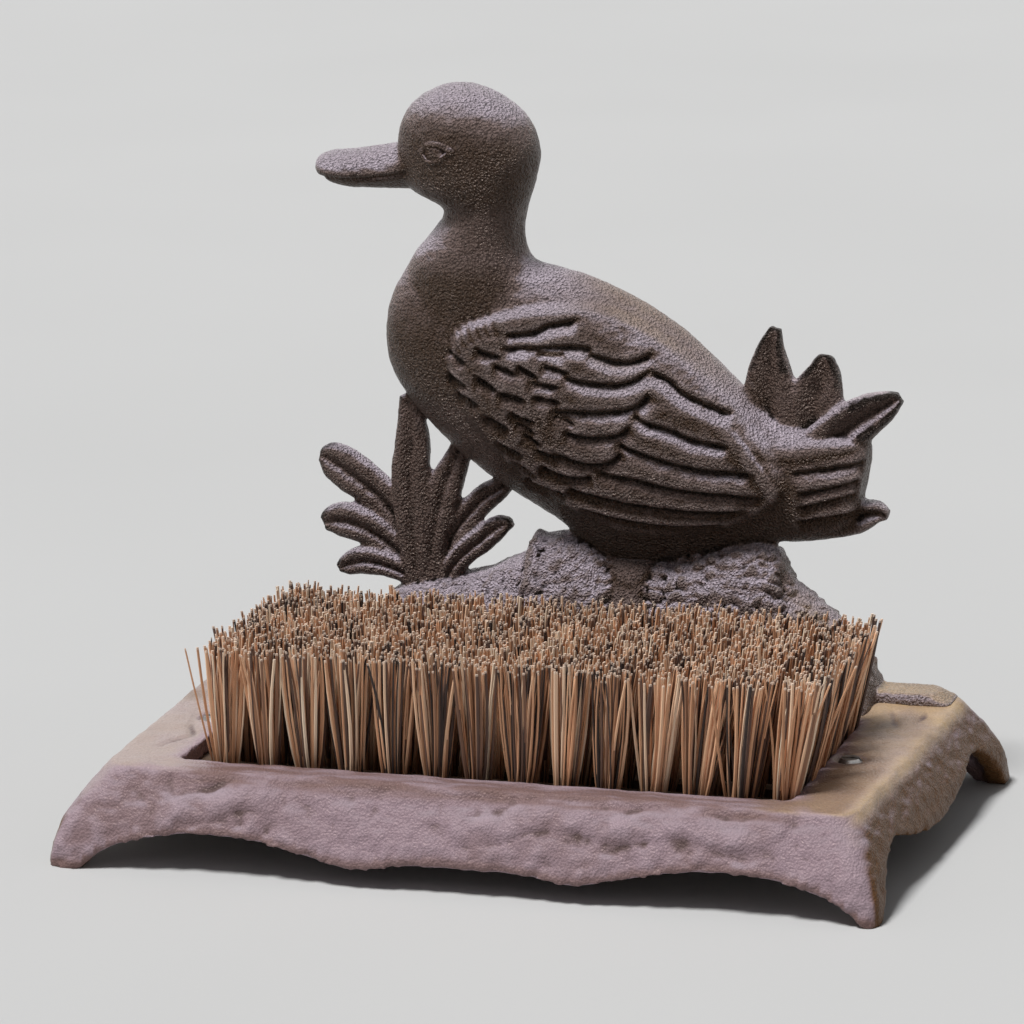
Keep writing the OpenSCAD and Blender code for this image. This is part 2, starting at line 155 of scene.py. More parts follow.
# %% [markdown]
# Leaves and tail feathers are thick castings. A leaf has two rounded lobes with a groove between them,
# and a tail feather is dished between thick rims, so both are ovals that are pressed in along the middle.
# Each row holds a point on the middle line, its distance from the middle plane, half width
# and half thickness. A flat outline with a thickness would be simpler, but it has no rounded lobes.

# %% Water plant and tail
LEAVES = [[[-61, 42, 0, 4, 4], [-72, 61, -1, 6, 4], [-84, 71, -2, 7.5, 4], [-92, 76, -2, 6.5, 3.5],
           [-96.5, 77.5, -2, 2.5, 2]],
          [[-60, 38, -2, 3, 4], [-72, 48, -3, 5, 4], [-82, 53.5, -4, 6.5, 4], [-90, 54.5, -4, 6, 3.5],
           [-95.5, 53, -4, 3, 2]],
          [[-58, 34, -4, 3, 4], [-70, 39, -5, 4.5, 4], [-80, 40.5, -5, 5, 4], [-86.5, 38.5, -5, 4, 3],
           [-90, 37, -5, 1.5, 2]],
          [[-59, 30, -5, 4, 4], [-61, 51, -5, 6, 4], [-62, 71, -4, 7, 4], [-61, 86, -3, 6, 4],
           [-62.5, 101, -2, 3, 3]],
          [[-57, 32, -4, 4, 4], [-53, 54, -4, 5.5, 4], [-49, 69, -3, 6, 4], [-45, 79, -2, 4.5, 3.5],
           [-43, 86, -1, 2.5, 3]],
          [[-55, 34, -2, 3, 4], [-46, 52, -2, 4.5, 4], [-37, 63, -1, 5, 4], [-30, 68, -1, 4, 3.5],
           [-25, 71, 0, 1.5, 2.5]],
          [[-52, 32, -4, 3, 4], [-44, 43, -5, 4, 4], [-36, 50, -5, 4.5, 4], [-29, 55.5, -5, 4, 3],
           [-24, 57, -5, 1.5, 2]]]
TAIL = [[[68, 92, 2, 9, 6], [68, 110, 3, 8.5, 5], [68.5, 121, 3.5, 5, 4], [70.5, 129, 3.5, 2, 2.5]],
        [[82, 84, 2, 11, 6], [84, 102, 3, 10.5, 5], [87, 113, 3.5, 6.5, 4], [88, 120, 3.5, 2.5, 2.5]],
        [[88, 88, 0, 9, 7], [100, 98, 0, 8, 6], [109, 103.5, 0, 5.5, 5], [115, 107, 0, 2, 3]],
        [[86, 62, 0, 6, 7], [98, 64, 0, 6, 6], [106, 66, 0, 4, 5], [110.5, 65, 0, 1.5, 3]]]
LEAF_GROOVE, LEAF_GROOVE_WIDTH = 0.6, 0.26
FEATHER_DISH, FEATHER_DISH_WIDTH = 0.7, 0.42
BLUNTNESS = 0.6


def leaf_rings(stations, groove, width, steps=8, sides=64):
    """Rings square to the middle line, pressed in there; groove and width are shares of the half sizes."""
    line = smooth(stations, steps)
    turn = np.linspace(0, 2 * math.pi, sides, endpoint=False)
    across, out = np.cos(turn), np.sin(turn)
    out = np.sign(out) * np.abs(out) ** BLUNTNESS * (1 - groove * np.exp(-(across / width) ** 2))
    rings = []
    for i, (x, z, y, half_w, half_t) in enumerate(line):
        way = line[min(i + 1, len(line) - 1)][:2] - line[max(i - 1, 0)][:2]
        way = way / np.linalg.norm(way)
        rings.append(np.stack([x - way[1] * half_w * across, MIDDLE + y + half_t * out,
                               DECK + z + way[0] * half_w * across], 1))
    return rings


plant = [skin(leaf_rings(leaf, LEAF_GROOVE, LEAF_GROOVE_WIDTH)) for leaf in LEAVES]
tail = [skin(leaf_rings(feather, FEATHER_DISH, FEATHER_DISH_WIDTH)) for feather in TAIL]
print("leaves:", len(plant), "tail feathers:", len(tail))

# %% [markdown]
# The duck stands on a mound that rises from a long flat foot, which is bolted to the back rail.
# The mound is a row of domes under a drawn crest line.
# Duck, plant, mound and foot are one iron casting, so all the skins are melted into one surface.
# A voxel remesh does that however the skins cross, and some smoothing leaves fillets where they meet.

# %% Mound and foot
CREST = [[-92, 3], [-86, 8], [-76, 24], [-68, 32], [-56, 36], [-45, 38], [-34, 41], [-25, 45],
         [-19, 48], [-16, 55], [-12, 54], [-5, 55], [4, 53], [16, 48], [30, 48], [48, 52],
         [62, 56], [72, 53], [77, 43], [84, 37], [91, 31], [97, 25], [102, 17], [105, 9], [107, 2]]
MOUND_MIDDLE, MOUND_HALF, CREST_LEAN = 52.5, 16.5, 4.5
FOOT_HALF_L, FOOT_HALF_D, FOOT_MIDDLE, FOOT_T, FOOT_R = 133, 8.5, 60.5, 3.5, 4.25
FOOT_RUN, FOOT_SLOPE, FOOT_EDGE = 6, 2, 0.3
SINK = 0.6
DOME_POINTS, DOME_FULLNESS, FOOT_POINTS = 25, 0.7, 64


def dome_rings():
    """Half rounds across the mound, one after the other along the crest."""
    turn = np.linspace(0, math.pi, DOME_POINTS)
    return [np.stack([np.full(DOME_POINTS, x),
                      MOUND_MIDDLE - MOUND_HALF * np.cos(turn) + CREST_LEAN * np.sin(turn),
                      DECK - SINK + height * np.abs(np.sin(turn)) ** DOME_FULLNESS], 1)
            for x, height in smooth(CREST, 4)]


def foot_rings():
    """Outlines of the foot with round corners, from below the deck up to its top."""
    turn = np.linspace(0, 2 * math.pi, FOOT_POINTS, endpoint=False)
    rings = []
    for z, inward in ((-SINK, 0), (FOOT_EDGE, 0), (FOOT_T, 1)):
        half_l, half_d = FOOT_HALF_L - inward * FOOT_RUN, FOOT_HALF_D - inward * FOOT_SLOPE
        x = np.sign(np.cos(turn)) * (half_l - FOOT_R) + FOOT_R * np.cos(turn)
        y = FOOT_MIDDLE + np.sign(np.sin(turn)) * (half_d - FOOT_R) + FOOT_R * np.sin(turn)
        rings.append(np.stack([x, y, np.full(FOOT_POINTS, DECK + z)], 1))
    return rings


# %% Fused casting
DUCK_VOXEL, DUCK_ROUNDS = 0.85, 3


def as_skin(obj):
    """The mesh of an object as a skin, in millimetres."""
    points = np.zeros(len(obj.data.vertices) * 3)
    obj.data.vertices.foreach_get("co", points)
    return points.reshape(-1, 3) / MM, [tuple(p.vertices) for p in obj.data.polygons]


pieces = [as_skin(core), bill, *plant, *tail, skin(dome_rings()), skin(foot_rings())]
duck = make_object("duck_casting", pieces)
bpy.data.objects.remove(core)
fuse(duck, DUCK_VOXEL, DUCK_ROUNDS)
print("duck casting:", len(duck.data.polygons), "faces")

# %% [markdown]
# The eye and the mouth are the finest details of the casting.
# The mesh is split once along the mouth and twice round the eye, and stays as it is elsewhere.
# A finer remesh of the whole casting would give many times more faces for the same two details.

# %% Finer mesh round the eye and along the mouth
EYE_ZONE, MOUTH_ZONE = (-53, -34, 218, 230), (-95, -55, 208, 220)


def refine(obj, zone):
    """Splits every edge inside a zone, which holds two limits along X and two in height."""
    x0, x1, z0, z1 = zone
    bm = bmesh.new()
    bm.from_mesh(obj.data)
    inside = {v for v in bm.verts if x0 < v.co.x / MM < x1 and z0 < v.co.z / MM < z1}
    edges = [e for e in bm.edges if e.verts[0] in inside and e.verts[1] in inside]
    bmesh.ops.subdivide_edges(bm, edges=edges, cuts=1, use_grid_fill=True)
    bmesh.ops.triangulate(bm, faces=[f for f in bm.faces if len(f.verts) > 4])
    bm.to_mesh(obj.data)
    bm.free()


for zone in (MOUTH_ZONE, EYE_ZONE, EYE_ZONE):
    refine(duck, zone)
print("with finer eye and mouth:", len(duck.data.polygons), "faces")

# %% [markdown]
# The feathers are low relief, pressed into the sand mould by the pattern.
# They could be sculpted one by one. Here each point of the mesh moves along its normal instead,
# by a height that comes from its distance to a drawn line, so a feather changes when its line does.

# %% Points of a mesh
def points_of(obj):
    """Places of the points, in millimetres, and the directions they face."""
    co = np.zeros(len(obj.data.vertices) * 3)
    obj.data.vertices.foreach_get("co", co)
    normals = np.zeros(len(obj.data.vertices) * 3)
    obj.data.vertex_normals.foreach_get("vector", normals)
    return co.reshape(-1, 3) / MM, normals.reshape(-1, 3)


def put_points(obj, co):
    """Moves the points to new places, given in millimetres."""
    obj.data.vertices.foreach_set("co", (co * MM).ravel())
    obj.data.update()


def ramp(values, low, high):
    """0 up to low, 1 from high on, and a smooth rise between."""
    t = np.clip((values - low) / (high - low), 0, 1)
    return t * t * (3 - 2 * t)


# %% Ridges, steps and pads along drawn lines
def near_line(points, x, z):
    """Distance of each point from a drawn line, where along the line that is, and 1 above or -1 below it."""
    line = smooth(points, 5)
    best, share, way = np.full(len(x), np.inf), np.zeros(len(x)), np.ones(len(x))
    for i in range(len(line) - 1):
        (ax, az), (bx, bz) = line[i], line[i + 1]
        length2 = (bx - ax) ** 2 + (bz - az) ** 2
        t = np.clip(((x - ax) * (bx - ax) + (z - az) * (bz - az)) / length2, 0, 1)
        d = np.hypot(x - ax - t * (bx - ax), z - az - t * (bz - az))
        closer = d < best
        best = np.where(closer, d, best)
        share = np.where(closer, (i + t) / (len(line) - 1), share)
        way = np.where(closer, np.sign((bx - ax) * (z - az) - (bz - az) * (x - ax)), way)
    return best, share, way


def ridge(points, half_width, height, x, z, rise=(0.6, 1.0, 0.8)):
    """Rounded ridge along a drawn line; rise is its relative height at the start, middle and end."""
    d, share = near_line(points, x, z)[:2]
    u = np.clip(d / half_width, 0, 1)
    return height * (1 - u * u) ** 0.8 * np.interp(share, [0, 0.5, 1], rise)


def step(points, depth, x, z, above=1.3, below=4.8, fade=0.14):
    """Step like that of a shingle: deepest on the line, steep above it, coming out slowly below it."""
    d, share, way = near_line(points, x, z)
    fall = np.where(way > 0, 1 - ramp(d, 0, above), np.clip(1 - d / below, 0, 1) ** 1.2)
    return depth * fall * ramp(share, 0, fade) * ramp(1 - share, 0, fade)


def pad(outline, x, z, soft):
    """1 well inside a closed outline, 0 outside, with a soft edge between."""
    d = near_line(outline, x, z)[0]
    line = smooth(outline, 5)
    odd = np.zeros(len(x), bool)
    for (ax, az), (bx, bz) in zip(line[:-1], line[1:]):
        if az != bz:
            odd ^= ((az > z) != (bz > z)) & (x < ax + (z - az) * (bx - ax) / (bz - az))
    return ramp(np.where(odd, d, -d), -0.3 * soft, soft)


# %% [markdown]
# The wing is a low pad, and every feather ends in a step on it, like the edge of a shingle.
# The steps follow lines measured on the near wing, and the far wing is its mirror image.
# The lines hold places along X and heights above the ground.

# %% Lines of the wing and the tail fan
WING = [[-43, 152], [-40, 160], [-33, 166], [-20, 169.5], [-5, 172], [8, 172], [20, 168.5], [34, 161],
        [48, 150], [60, 138], [70, 126], [77, 113], [74, 104], [60, 96], [40, 91], [20, 92], [5, 97],
        [-8, 104], [-20, 113], [-30, 124], [-38, 137], [-43, 152]]
COVERTS = [[[-21, 161], [-10, 162.3], [-5, 164.5], [6, 166.3]],
           [[-22, 156.8], [-12, 157.2], [-2, 157.6], [6, 157.6], [11, 156.5]],
           [[7, 156.5], [15, 153.7], [20, 152.7], [25, 152.8], [32, 155.5]],
           [[-1, 148.5], [5, 146.5], [12, 145.5], [20, 145.3], [26, 147], [32, 151]],
           [[-6, 136], [2, 135.8], [10, 135.7], [22, 136.5], [28, 139], [31, 143]],
           [[0, 129], [5, 127.5], [12, 127], [20, 128], [25, 132]],
           [[-5, 121.5], [5, 118], [12, 117.3], [18, 119], [22, 123]],
           [[-9, 116.5], [-3, 113.5], [5, 112], [11, 113.3]],
           [[-16, 110.5], [-8, 107.5], [1, 105.2]]]
FLIGHT = [[[29, 149.5], [36, 147], [42, 142], [52, 137], [59, 134]],
          [[26, 136.5], [28, 133], [38, 130], [45, 126.8], [52, 125.3], [59, 123.6]],
          [[19, 126.5], [22, 124], [30, 121], [40, 118], [50, 116], [60, 115.3], [68, 114.6]],
          [[11, 116], [15, 114], [25, 112.5], [35, 110], [45, 108.5], [60, 107.3], [72, 106.3]],
          [[2, 109], [5, 107], [20, 104], [35, 102], [50, 101], [68, 102.3]],
          [[3, 101], [20, 97.5], [38, 95.5], [56, 96.7]]]
TONGUES = [[[-42, 156.5], [-38, 153.5], [-33, 150.5]], [[-31, 157], [-26, 155], [-20, 153.8]],
           [[-11, 156], [-4, 155.5], [3, 155.5]], [[-42, 147.5], [-38, 145.5], [-33, 142.5]],
           [[-31, 147.5], [-26, 144.5], [-22, 141.5]], [[-25, 151.2], [-20, 150], [-14, 147.5]],
           [[-16, 151.3], [-12, 149.5], [-7, 146.5]], [[-8, 151.7], [-2, 150.5], [4, 148.5]],
           [[-39, 141], [-34, 139], [-29, 136.3]], [[-24, 141.2], [-18, 141], [-11, 138.5]],
           [[-13, 146], [-6, 145], [1, 144]], [[-11, 141], [-5, 140], [1, 138.8]],
           [[-29, 133.3], [-24, 131.5], [-18, 128]], [[-19, 135.5], [-14, 133], [-9, 131.8]],
           [[-18, 131.5], [-13, 130], [-9, 127]], [[-5, 134.5], [1, 133.5], [6, 130.5]],
           [[-25, 124], [-19, 121.5], [-14, 118.5]], [[-15, 127.7], [-11, 126], [-7, 123]],
           [[-11, 122.2], [-5, 120.5], [1, 117.5]], [[-21, 117.3], [-15, 115], [-10, 111.5]]]
FAN = [[[78, 115], [88, 116.3], [100, 118.3], [110, 120]],
       [[80, 107.5], [88, 109], [97, 111.3], [108, 114]],
       [[80, 102.3], [87, 104], [93, 105.7], [106, 109]], [[80, 97.3], [90, 99], [104, 102]]]
WING_TIP = [[54, 131], [60, 124.5], [65, 118.5], [70, 112], [73, 107.5]]
FAN_EDGE = [[66, 126], [74, 122.2], [85, 123], [97, 125.7], [104, 129.5]]
SHOULDER = [[-40, 156.5], [-36.5, 161], [-31, 163.5], [-25, 164.5], [-19, 165]]
print("feather lines:", len(COVERTS + FLIGHT + TONGUES + FAN))

# %% Relief of the feathers
FEATHER_STEP, TONGUE_STEP, FAN_STEP = 2.4, 2.3, 1.9
SLASHES, SLASH_HALF, SLASH_DEPTH = 7, 1.4, 0.7
WING_LIFT, WING_EDGE = 2.5, 4.0


def wing_relief(x, z):
    """Height of the wing over the smooth body, with its feathers cut in."""
    cut = np.zeros(len(x))
    for line in COVERTS + FLIGHT:
        cut = np.maximum(cut, step(line, FEATHER_STEP, x, z))
    for line in TONGUES:
        cut = np.maximum(cut, step(line, TONGUE_STEP, x, z, 1.0, 5.0, 0.3))
    for line in FAN:
        cut = np.maximum(cut, step(line, FAN_STEP, x, z, 1.1, 4.6))
    for px, pz in smooth(SHOULDER, 2)[:SLASHES]:
        slash = [[px - 1.6, pz + 3.5], [px, pz], [px + 2, pz - 3.5]]
        cut = np.maximum(cut, ridge(slash, SLASH_HALF, SLASH_DEPTH, x, z))
    lift = WING_LIFT * pad(WING, x, z, WING_EDGE)
    lift += (ridge(WING_TIP, 2.6, 1.3, x, z, (0.2, 1.0, 0.5))
             + ridge(FAN_EDGE, 4.0, 1.5, x, z, (0.1, 1.0, 1.0)))
    return lift - cut


co, normals = points_of(duck)
x, y, z = co.T
side = ramp(np.abs(normals[:, 1]), 0.15, 0.5) * ramp(np.abs(y - MIDDLE), 3, 7)
on_body = side * ramp(z, 88, 92) * ramp(x, -50, -42)
lift = wing_relief(x, z) * on_body
put_points(duck, co + normals * lift[:, None])
print("feather relief from %.1f to %.1f mm" % (lift.min(), lift.max()))

# %% [markdown]
# The eye is an almond hollow with an eyeball in it, between an upper and a lower lid.
# The mouth is a groove along both sides of the bill, and the lower bill stands back a little under it.
# They are too small for sections of their own, so they are relief as well.

# %% Eye and mouth
UPPER_LID = [[-49.2, 224.1], [-47.2, 226], [-45, 226.9], [-43, 226.9], [-41, 226.3], [-37.8, 225]]
LOWER_LID = [[-49.2, 224.1], [-47.8, 222.5], [-46.5, 221.6], [-44.5, 221.4], [-43, 221.8], [-41, 223.2],
             [-39.5, 224.4], [-37.8, 225]]
EYE, EYE_HALF = (-44.5, 224.1), (3.6, 2.6)
BALL_OUT, HOLLOW_DEPTH = 1.7, 1.2
LOWER_LID_SIZE, UPPER_LID_SIZE = (1.6, 0.6), (1.7, 0.55)
MOUTH = [[-96, 212.4], [-90, 212.2], [-84, 212.2], [-76, 212.2], [-66, 213.3], [-57, 215.6]]
MOUTH_DEPTH, MOUTH_HALF, JAW_BACK = 1.1, 0.9, 0.4
CHIN = 205


def face_relief(x, z):
    """Height of the eye and the lids over the smooth head, less the depth of the mouth."""
    low = np.interp(x, [p[0] for p in LOWER_LID], [p[1] for p in LOWER_LID])
    high = np.interp(x, [p[0] for p in UPPER_LID], [p[1] for p in UPPER_LID])
    hollow = ramp(z - low, 0, 0.9) * ramp(high - z, 0, 0.9) * ramp(x, -49.2, -48) * ramp(-x, 37.8, 40)
    ball = np.clip(1 - ((x - EYE[0]) / EYE_HALF[0]) ** 2 - ((z - EYE[1]) / EYE_HALF[1]) ** 2, 0, 1)
    h = hollow * (BALL_OUT * np.sqrt(ball) - HOLLOW_DEPTH)
    h += (ridge(LOWER_LID, *LOWER_LID_SIZE, x, z, (0.3, 1.0, 0.3))
          + ridge(UPPER_LID, *UPPER_LID_SIZE, x, z, (0.3, 1.0, 0.6)))
    d = near_line(MOUTH, x, z)[0]
    under = np.interp(x, [p[0] for p in MOUTH], [p[1] for p in MOUTH]) - z
    groove = MOUTH_DEPTH * np.exp(-(d / MOUTH_HALF) ** 2)
    jaw = JAW_BACK * ramp(under, 0, 1.5) * ramp(x, -93, -86)
    return h - ramp(-x, 56, 60) * (groove + jaw)


co, normals = points_of(duck)
x, y, z = co.T
on_face = np.where(z > CHIN, 1, 0) * np.maximum(ramp(np.abs(normals[:, 1]), 0.3, 0.6), ramp(-x, 86, 92))
put_points(duck, co + normals * (face_relief(x, z) * on_face)[:, None])
print("eye and mouth cut into", int((on_face > 0.5).sum()), "points of the head")

# %% [markdown]
# A smooth stem runs down from the belly between two lobes of rock.
# The right lobe is pebbly, and the left lobe has long strokes that lean to the right.
# The whole casting is slightly uneven, because the sand mould gives a little.
# Noise makes all of this, since no pebble has a set place. Grain finer than the mesh is left
# to the material.

# %% Tools for rock
def lumps(co, size, seed):
    """Rounded pebbles with cracks between them: 0 in a crack, 1 on top of a pebble."""
    out = np.zeros(len(co))
    for i, p in enumerate(co):
        d = noise.voronoi(Vector(p) / size + Vector((seed, seed, seed)))[0]
        out[i] = d[1] - d[0]
    return ramp(out, 0, 0.55)


def rough(co, size, octaves, seed):
    """Cloudy unevenness, about -1 to 1."""
    shift = Vector((seed, 0, seed))
    return np.array([noise.fractal(Vector(p) / size + shift, 0.9, 2.0, octaves) for p in co])


# %% Stem, pebbles and strokes
STEM_X, STEM_OUT = 20.5, 1.8
STEM_HEIGHTS, STEM_HALVES = [66, 74, 80, 86, 90], [5.5, 5.5, 8, 15, 22]
WARP, WARP_SIZE = 2.2, 9
PEBBLE_SIZE, PEBBLE_OUT, PEBBLE_SINK = 4.8, 1.35, 0.7
STROKE_SIZE, STROKE_OUT, STROKE_STRETCH = 2.6, 1.05, 0.3
LOBE_BLEND = 8

co, normals = points_of(duck)
x, y, z = co.T
crest = np.interp(x, [c[0] for c in CREST], [c[1] for c in CREST])
mound = ramp(DECK + crest + 1 - z, 0, 5) * ramp(z - DECK, 3, 10)
from_stem = np.abs(x - STEM_X) / np.interp(z, STEM_HEIGHTS, STEM_HALVES)
stem = mound * ramp(1.25 - from_stem, 0, 0.5)
rock = mound - stem
warped = co + WARP * np.stack([rough(co, WARP_SIZE, 2, seed) for seed in (11.0, 12.0, 13.0)], 1)
pebbles = PEBBLE_OUT * lumps(warped, PEBBLE_SIZE, 2.0) - PEBBLE_SINK + 0.7 * rough(co, 5, 4, 7.0)
along, across = 0.5 * x + 0.87 * z, 0.87 * x - 0.5 * z
slanted = np.stack([across, y, STROKE_STRETCH * along], 1)
strokes = STROKE_OUT * rough(slanted, STROKE_SIZE, 3, 5.0) + 0.5 * rough(co, 8, 3, 7.0)
lift = 0.2 * rough(co, 7, 3, 4.0) + 0.13 * rough(co, 1.9, 2, 9.0)
right_lobe = ramp(x, STEM_X - LOBE_BLEND, STEM_X + LOBE_BLEND)
lift += rock * (right_lobe * pebbles + (1 - right_lobe) * strokes)
lift += STEM_OUT * mound * np.sqrt(np.clip(1 - from_stem ** 2, 0, 1))
put_points(duck, co + normals * lift[:, None])
print("rock on", int((rock > 0.5).sum()), "points")

# %% [markdown]
# Dirt and painted shade gather in hollows, and raised edges are rubbed and carry a painted highlight.
# How far each point lies below or above its softened surroundings is kept with the mesh as "recess".
# How far it faces the sky is kept as its dust value, which also carries a painted reflection of the sky.
# Dark brown metal and tan dirt have their own places, kept as rust and mud values; on the duck the rust value
# is painted shade on faces that look down. The finishes read all four.
# They could be painted on, but values worked out from the shape follow every change of it.

# %% Recess, dust and painted sheen
def soften(values, edges, rounds):
    """Each value moves to the mean of its neighbours, several times over."""
    count = np.bincount(edges.ravel(), minlength=len(values))
    for _ in range(rounds):
        total = np.zeros_like(values)
        for c in range(values.shape[1]):
            total[:, c] = (np.bincount(edges[:, 0], values[edges[:, 1], c], len(values))
                           + np.bincount(edges[:, 1], values[edges[:, 0], c], len(values)))
        values = total / count[:, None]
    return values


def keep(obj, name, values):
    """Stores one value for each point with the mesh."""
    layer = obj.data.attributes.new(name, "FLOAT", "POINT")
    layer.data.foreach_set("value", np.asarray(values, np.float32))


def weather_and_painted_light(obj, depth, sky, extra, rounds):
    """Keeps dirt and painted sheen by facing, and gives depth: 1 for the given depth, -1 for as much proud.
    """
    co, normals = points_of(obj)
    edges = np.zeros(len(obj.data.edges) * 2, np.int64)
    obj.data.edges.foreach_get("vertices", edges)
    soft = soften(co, edges.reshape(-1, 2), rounds)
    recess = np.clip(((soft - co) * normals).sum(1) / depth, -1, 1)
    facing = normals[:, 2] - 0.25 * np.clip(recess, 0, 1)
    # Facing the sky brings dust and a painted sheen of the sky.
    keep(obj, "dust_and_sheen", np.clip(ramp(facing, *sky) + extra, 0, 1))
    obj.data.polygons.foreach_set("use_smooth", np.ones(len(obj.data.polygons), bool))
    return recess


# %% [markdown]
# On the duck, dust and a painted sky reflection lie on the bill and the rock, painted light on the neck, and
# a painted highlight on the upper sides of the feathers. Faces that look down get painted shade. The stem and
# the rock under the belly stay dark with painted shade from the belly, and tan dirt lies on the back and on
# the foot.
# Leaves and tail feathers have dark rims. Each zone comes from the place and the direction of a point.

# %% Dust, painted light and shade, rust and mud on the duck
DUCK_DEPTH, DUCK_SKY, DUCK_SOFTENING = 1.0, (0.04, 0.82), 14
PLANT_TOP = 105
EYE_REACH, EYE_SHINE = 9, 0.3
# The first values below add to the dust and painted sky sheen of the bill, neck, plant and tail. The last
# take it away from the back, and paint shade on the rock under the belly and on the stem.
BILL_DUST_AND_SHEEN, NECK_LIGHT, PLANT_DUST, TAIL_DUST = 0.9, 0.2, 0.17, 0.13
BARE_BACK, BELLY_SHADOW, STEM_SHADE = 0.48, 0.3, 0.6
PLANT_RIM, TAIL_RIM, RIM_START = 1.4, 2.4, 0.3

co, normals = points_of(duck)
x, y, z = co.T
upward = normals[:, 2]
# The bill gets dust and a painted sky reflection.
bill_dust_and_sheen = BILL_DUST_AND_SHEEN * ramp(-x, 58, 66) * ramp(z, CHIN, CHIN + 5) * ramp(upward, -0.4, 0.3)
plant_zone = ramp(-x, 20, 28) * ramp(DECK + PLANT_TOP - z, 0, 8) * (1 - rock)
tail_zone = ramp(x + 0.6 * (z - 128), 68, 78) * ramp(z, 122, 128)
back = ramp(upward, 0.4, 0.9) * ramp(z, 130, 160) * ramp(x, -12, 20)
# The upper sides of the feathers get a painted highlight, and the rest of the wing a little less sheen.
wing_highlight = 0.44 * ramp(upward, 0.32, 0.62) + 0.27 * ramp(x, 12, 30) * ramp(upward, 0.05, 0.4) - 0.1
wing_highlight *= pad(WING, x, z, WING_EDGE) * (1 - back)
# The neck gets painted light.
neck_light = NECK_LIGHT * ramp(z, 178, 188) * ramp(-z, -208, -200) * ramp(-x, 10, 30)
# The belly casts a painted shadow on the rock under it.
under_belly = ramp(x, 20, 34) * ramp(z - DECK - crest, -9, -2)
# The rock gets dust and a painted sky reflection, less of it under the belly and near the stem, where painted
# shade falls.
rock_dust_and_sheen = rock * (0.8 - 0.45 * ramp(x, -40, 30))
rock_dust_and_sheen *= 1 - 0.8 * under_belly
rock_dust_and_sheen *= ramp(from_stem, 0.6, 2.2)
# The stem under the belly gets painted shade.
extra = (bill_dust_and_sheen + wing_highlight + neck_light + rock_dust_and_sheen + PLANT_DUST * plant_zone + TAIL_DUST * tail_zone
         - BARE_BACK * back - BELLY_SHADOW * mound * under_belly - STEM_SHADE * stem * ramp(z, 66, 75))
# On the rock, the painted shade in the pits and the painted highlight on the bumps are made stronger.
recess = weather_and_painted_light(duck, DUCK_DEPTH, DUCK_SKY, extra, DUCK_SOFTENING) * (1 + 0.4 * rock)
rims = np.maximum(PLANT_RIM * (plant_zone > 0.5), TAIL_RIM * (tail_zone > 0.5))
rims *= np.clip(-recess - RIM_START, 0, 1)
near_eye = np.hypot(x - EYE[0], z - EYE[1]) < EYE_REACH
recess = np.where(near_eye, np.maximum(recess, -EYE_SHINE), recess)
keep(duck, "recess", np.where(rims > 0, rims, recess))
# Faces of the duck that look down are darker: painted shade, kept with the rust.
keep(duck, "rust_and_shade", 0.5 * ramp(-upward, -0.2, 0.5))
flank = 0.5 * rock * ramp(x, 74, 84)
foot_top = 1.5 * ramp(DECK + 8 - z, 0, 4) * ramp(upward, 0.6, 0.95)
keep(duck, "mud", np.maximum.reduce([0.6 * back, flank, foot_top]))
print("duck recess from %.2f to %.2f" % (recess.min(), recess.max()))

# %% [markdown]
# The casting is thinned so that its file stays small. The Decimate modifier joins points where that
# changes the surface least, so the smooth parts lose most of theirs and the feathers keep more.

# %% Thin the casting
MOST_TRIANGLES = 190000


def thin(obj, most):
    """Leaves an object with about the given number of triangles."""
    count = sum(len(p.vertices) - 2 for p in obj.data.polygons)
    obj.modifiers.new("thinner", "DECIMATE").ratio = min(1.0, most / count)
    return settle(obj)


thin(duck, MOST_TRIANGLES)
print("thinned duck casting:", len(duck.data.polygons), "faces")

# %% [markdown]
# The base is an iron casting too: a flat deck with a brush opening, and skirts that run out into four toes.
# The measured base is copied, so that it stays untouched itself, and melted into a fine mesh.
# The remesh and a little smoothing round every edge alike. A bevel is neater on plain shapes,
# but it often fails on the many small faces of these scallops.

# %% Base casting
MERGE, BASE_VOXEL, BASE_ROUNDS = 0.01, 1.05, 3

base = bpy.data.objects.new("base_casting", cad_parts["base_frame"].data.copy())
bpy.context.scene.collection.objects.link(base)
base.modifiers.new("merge", "WELD").merge_threshold = MERGE * MM
fuse(base, BASE_VOXEL, BASE_ROUNDS)
print("base casting:", len(base.data.polygons), "faces")

# %% [markdown]
# The base gets its own relief: lumps and soft waves on the front skirt, a craggy lower rim there,
# casting marks on the deck, and a slight unevenness all over. The flats under the toes stay as they are.
# Points move along their normals again, which is enough where nothing is undercut.

# %% Relief of the base
WAVES = [[[-106, 19.5], [-97, 22], [-89, 23.5], [-82, 26.5], [-75, 27.5], [-69, 26.5]],
         [[0, 21], [12, 23], [20, 26.5], [30, 28], [42, 27], [54, 25]],
         [[54, 25], [64, 27], [75, 28.5], [83, 26.5], [90, 25], [97, 26], [105, 29]]]
FOLD = [[-70, 31.2], [-20, 31.5], [40, 31.2], [130, 31]]
DECK_MARKS = [[[-124, 0], [-121, -8], [-118, -18], [-117, -24], [-113, -33], [-116, -40], [-119, -48]],
              [[113.5, 47], [116, 40], [118, 33], [121, 26]], [[126, 48], [126.5, 40], [126, 32]]]
WAVE_HALF, WAVE_OUT = 4.6, 1.9
FOLD_HALF, FOLD_DEPTH = 1.6, 0.3
MARK_HALF, MARK_DEPTH = 1.8, 0.9
COLUMN = 4
TOE_FLAT = 1.0

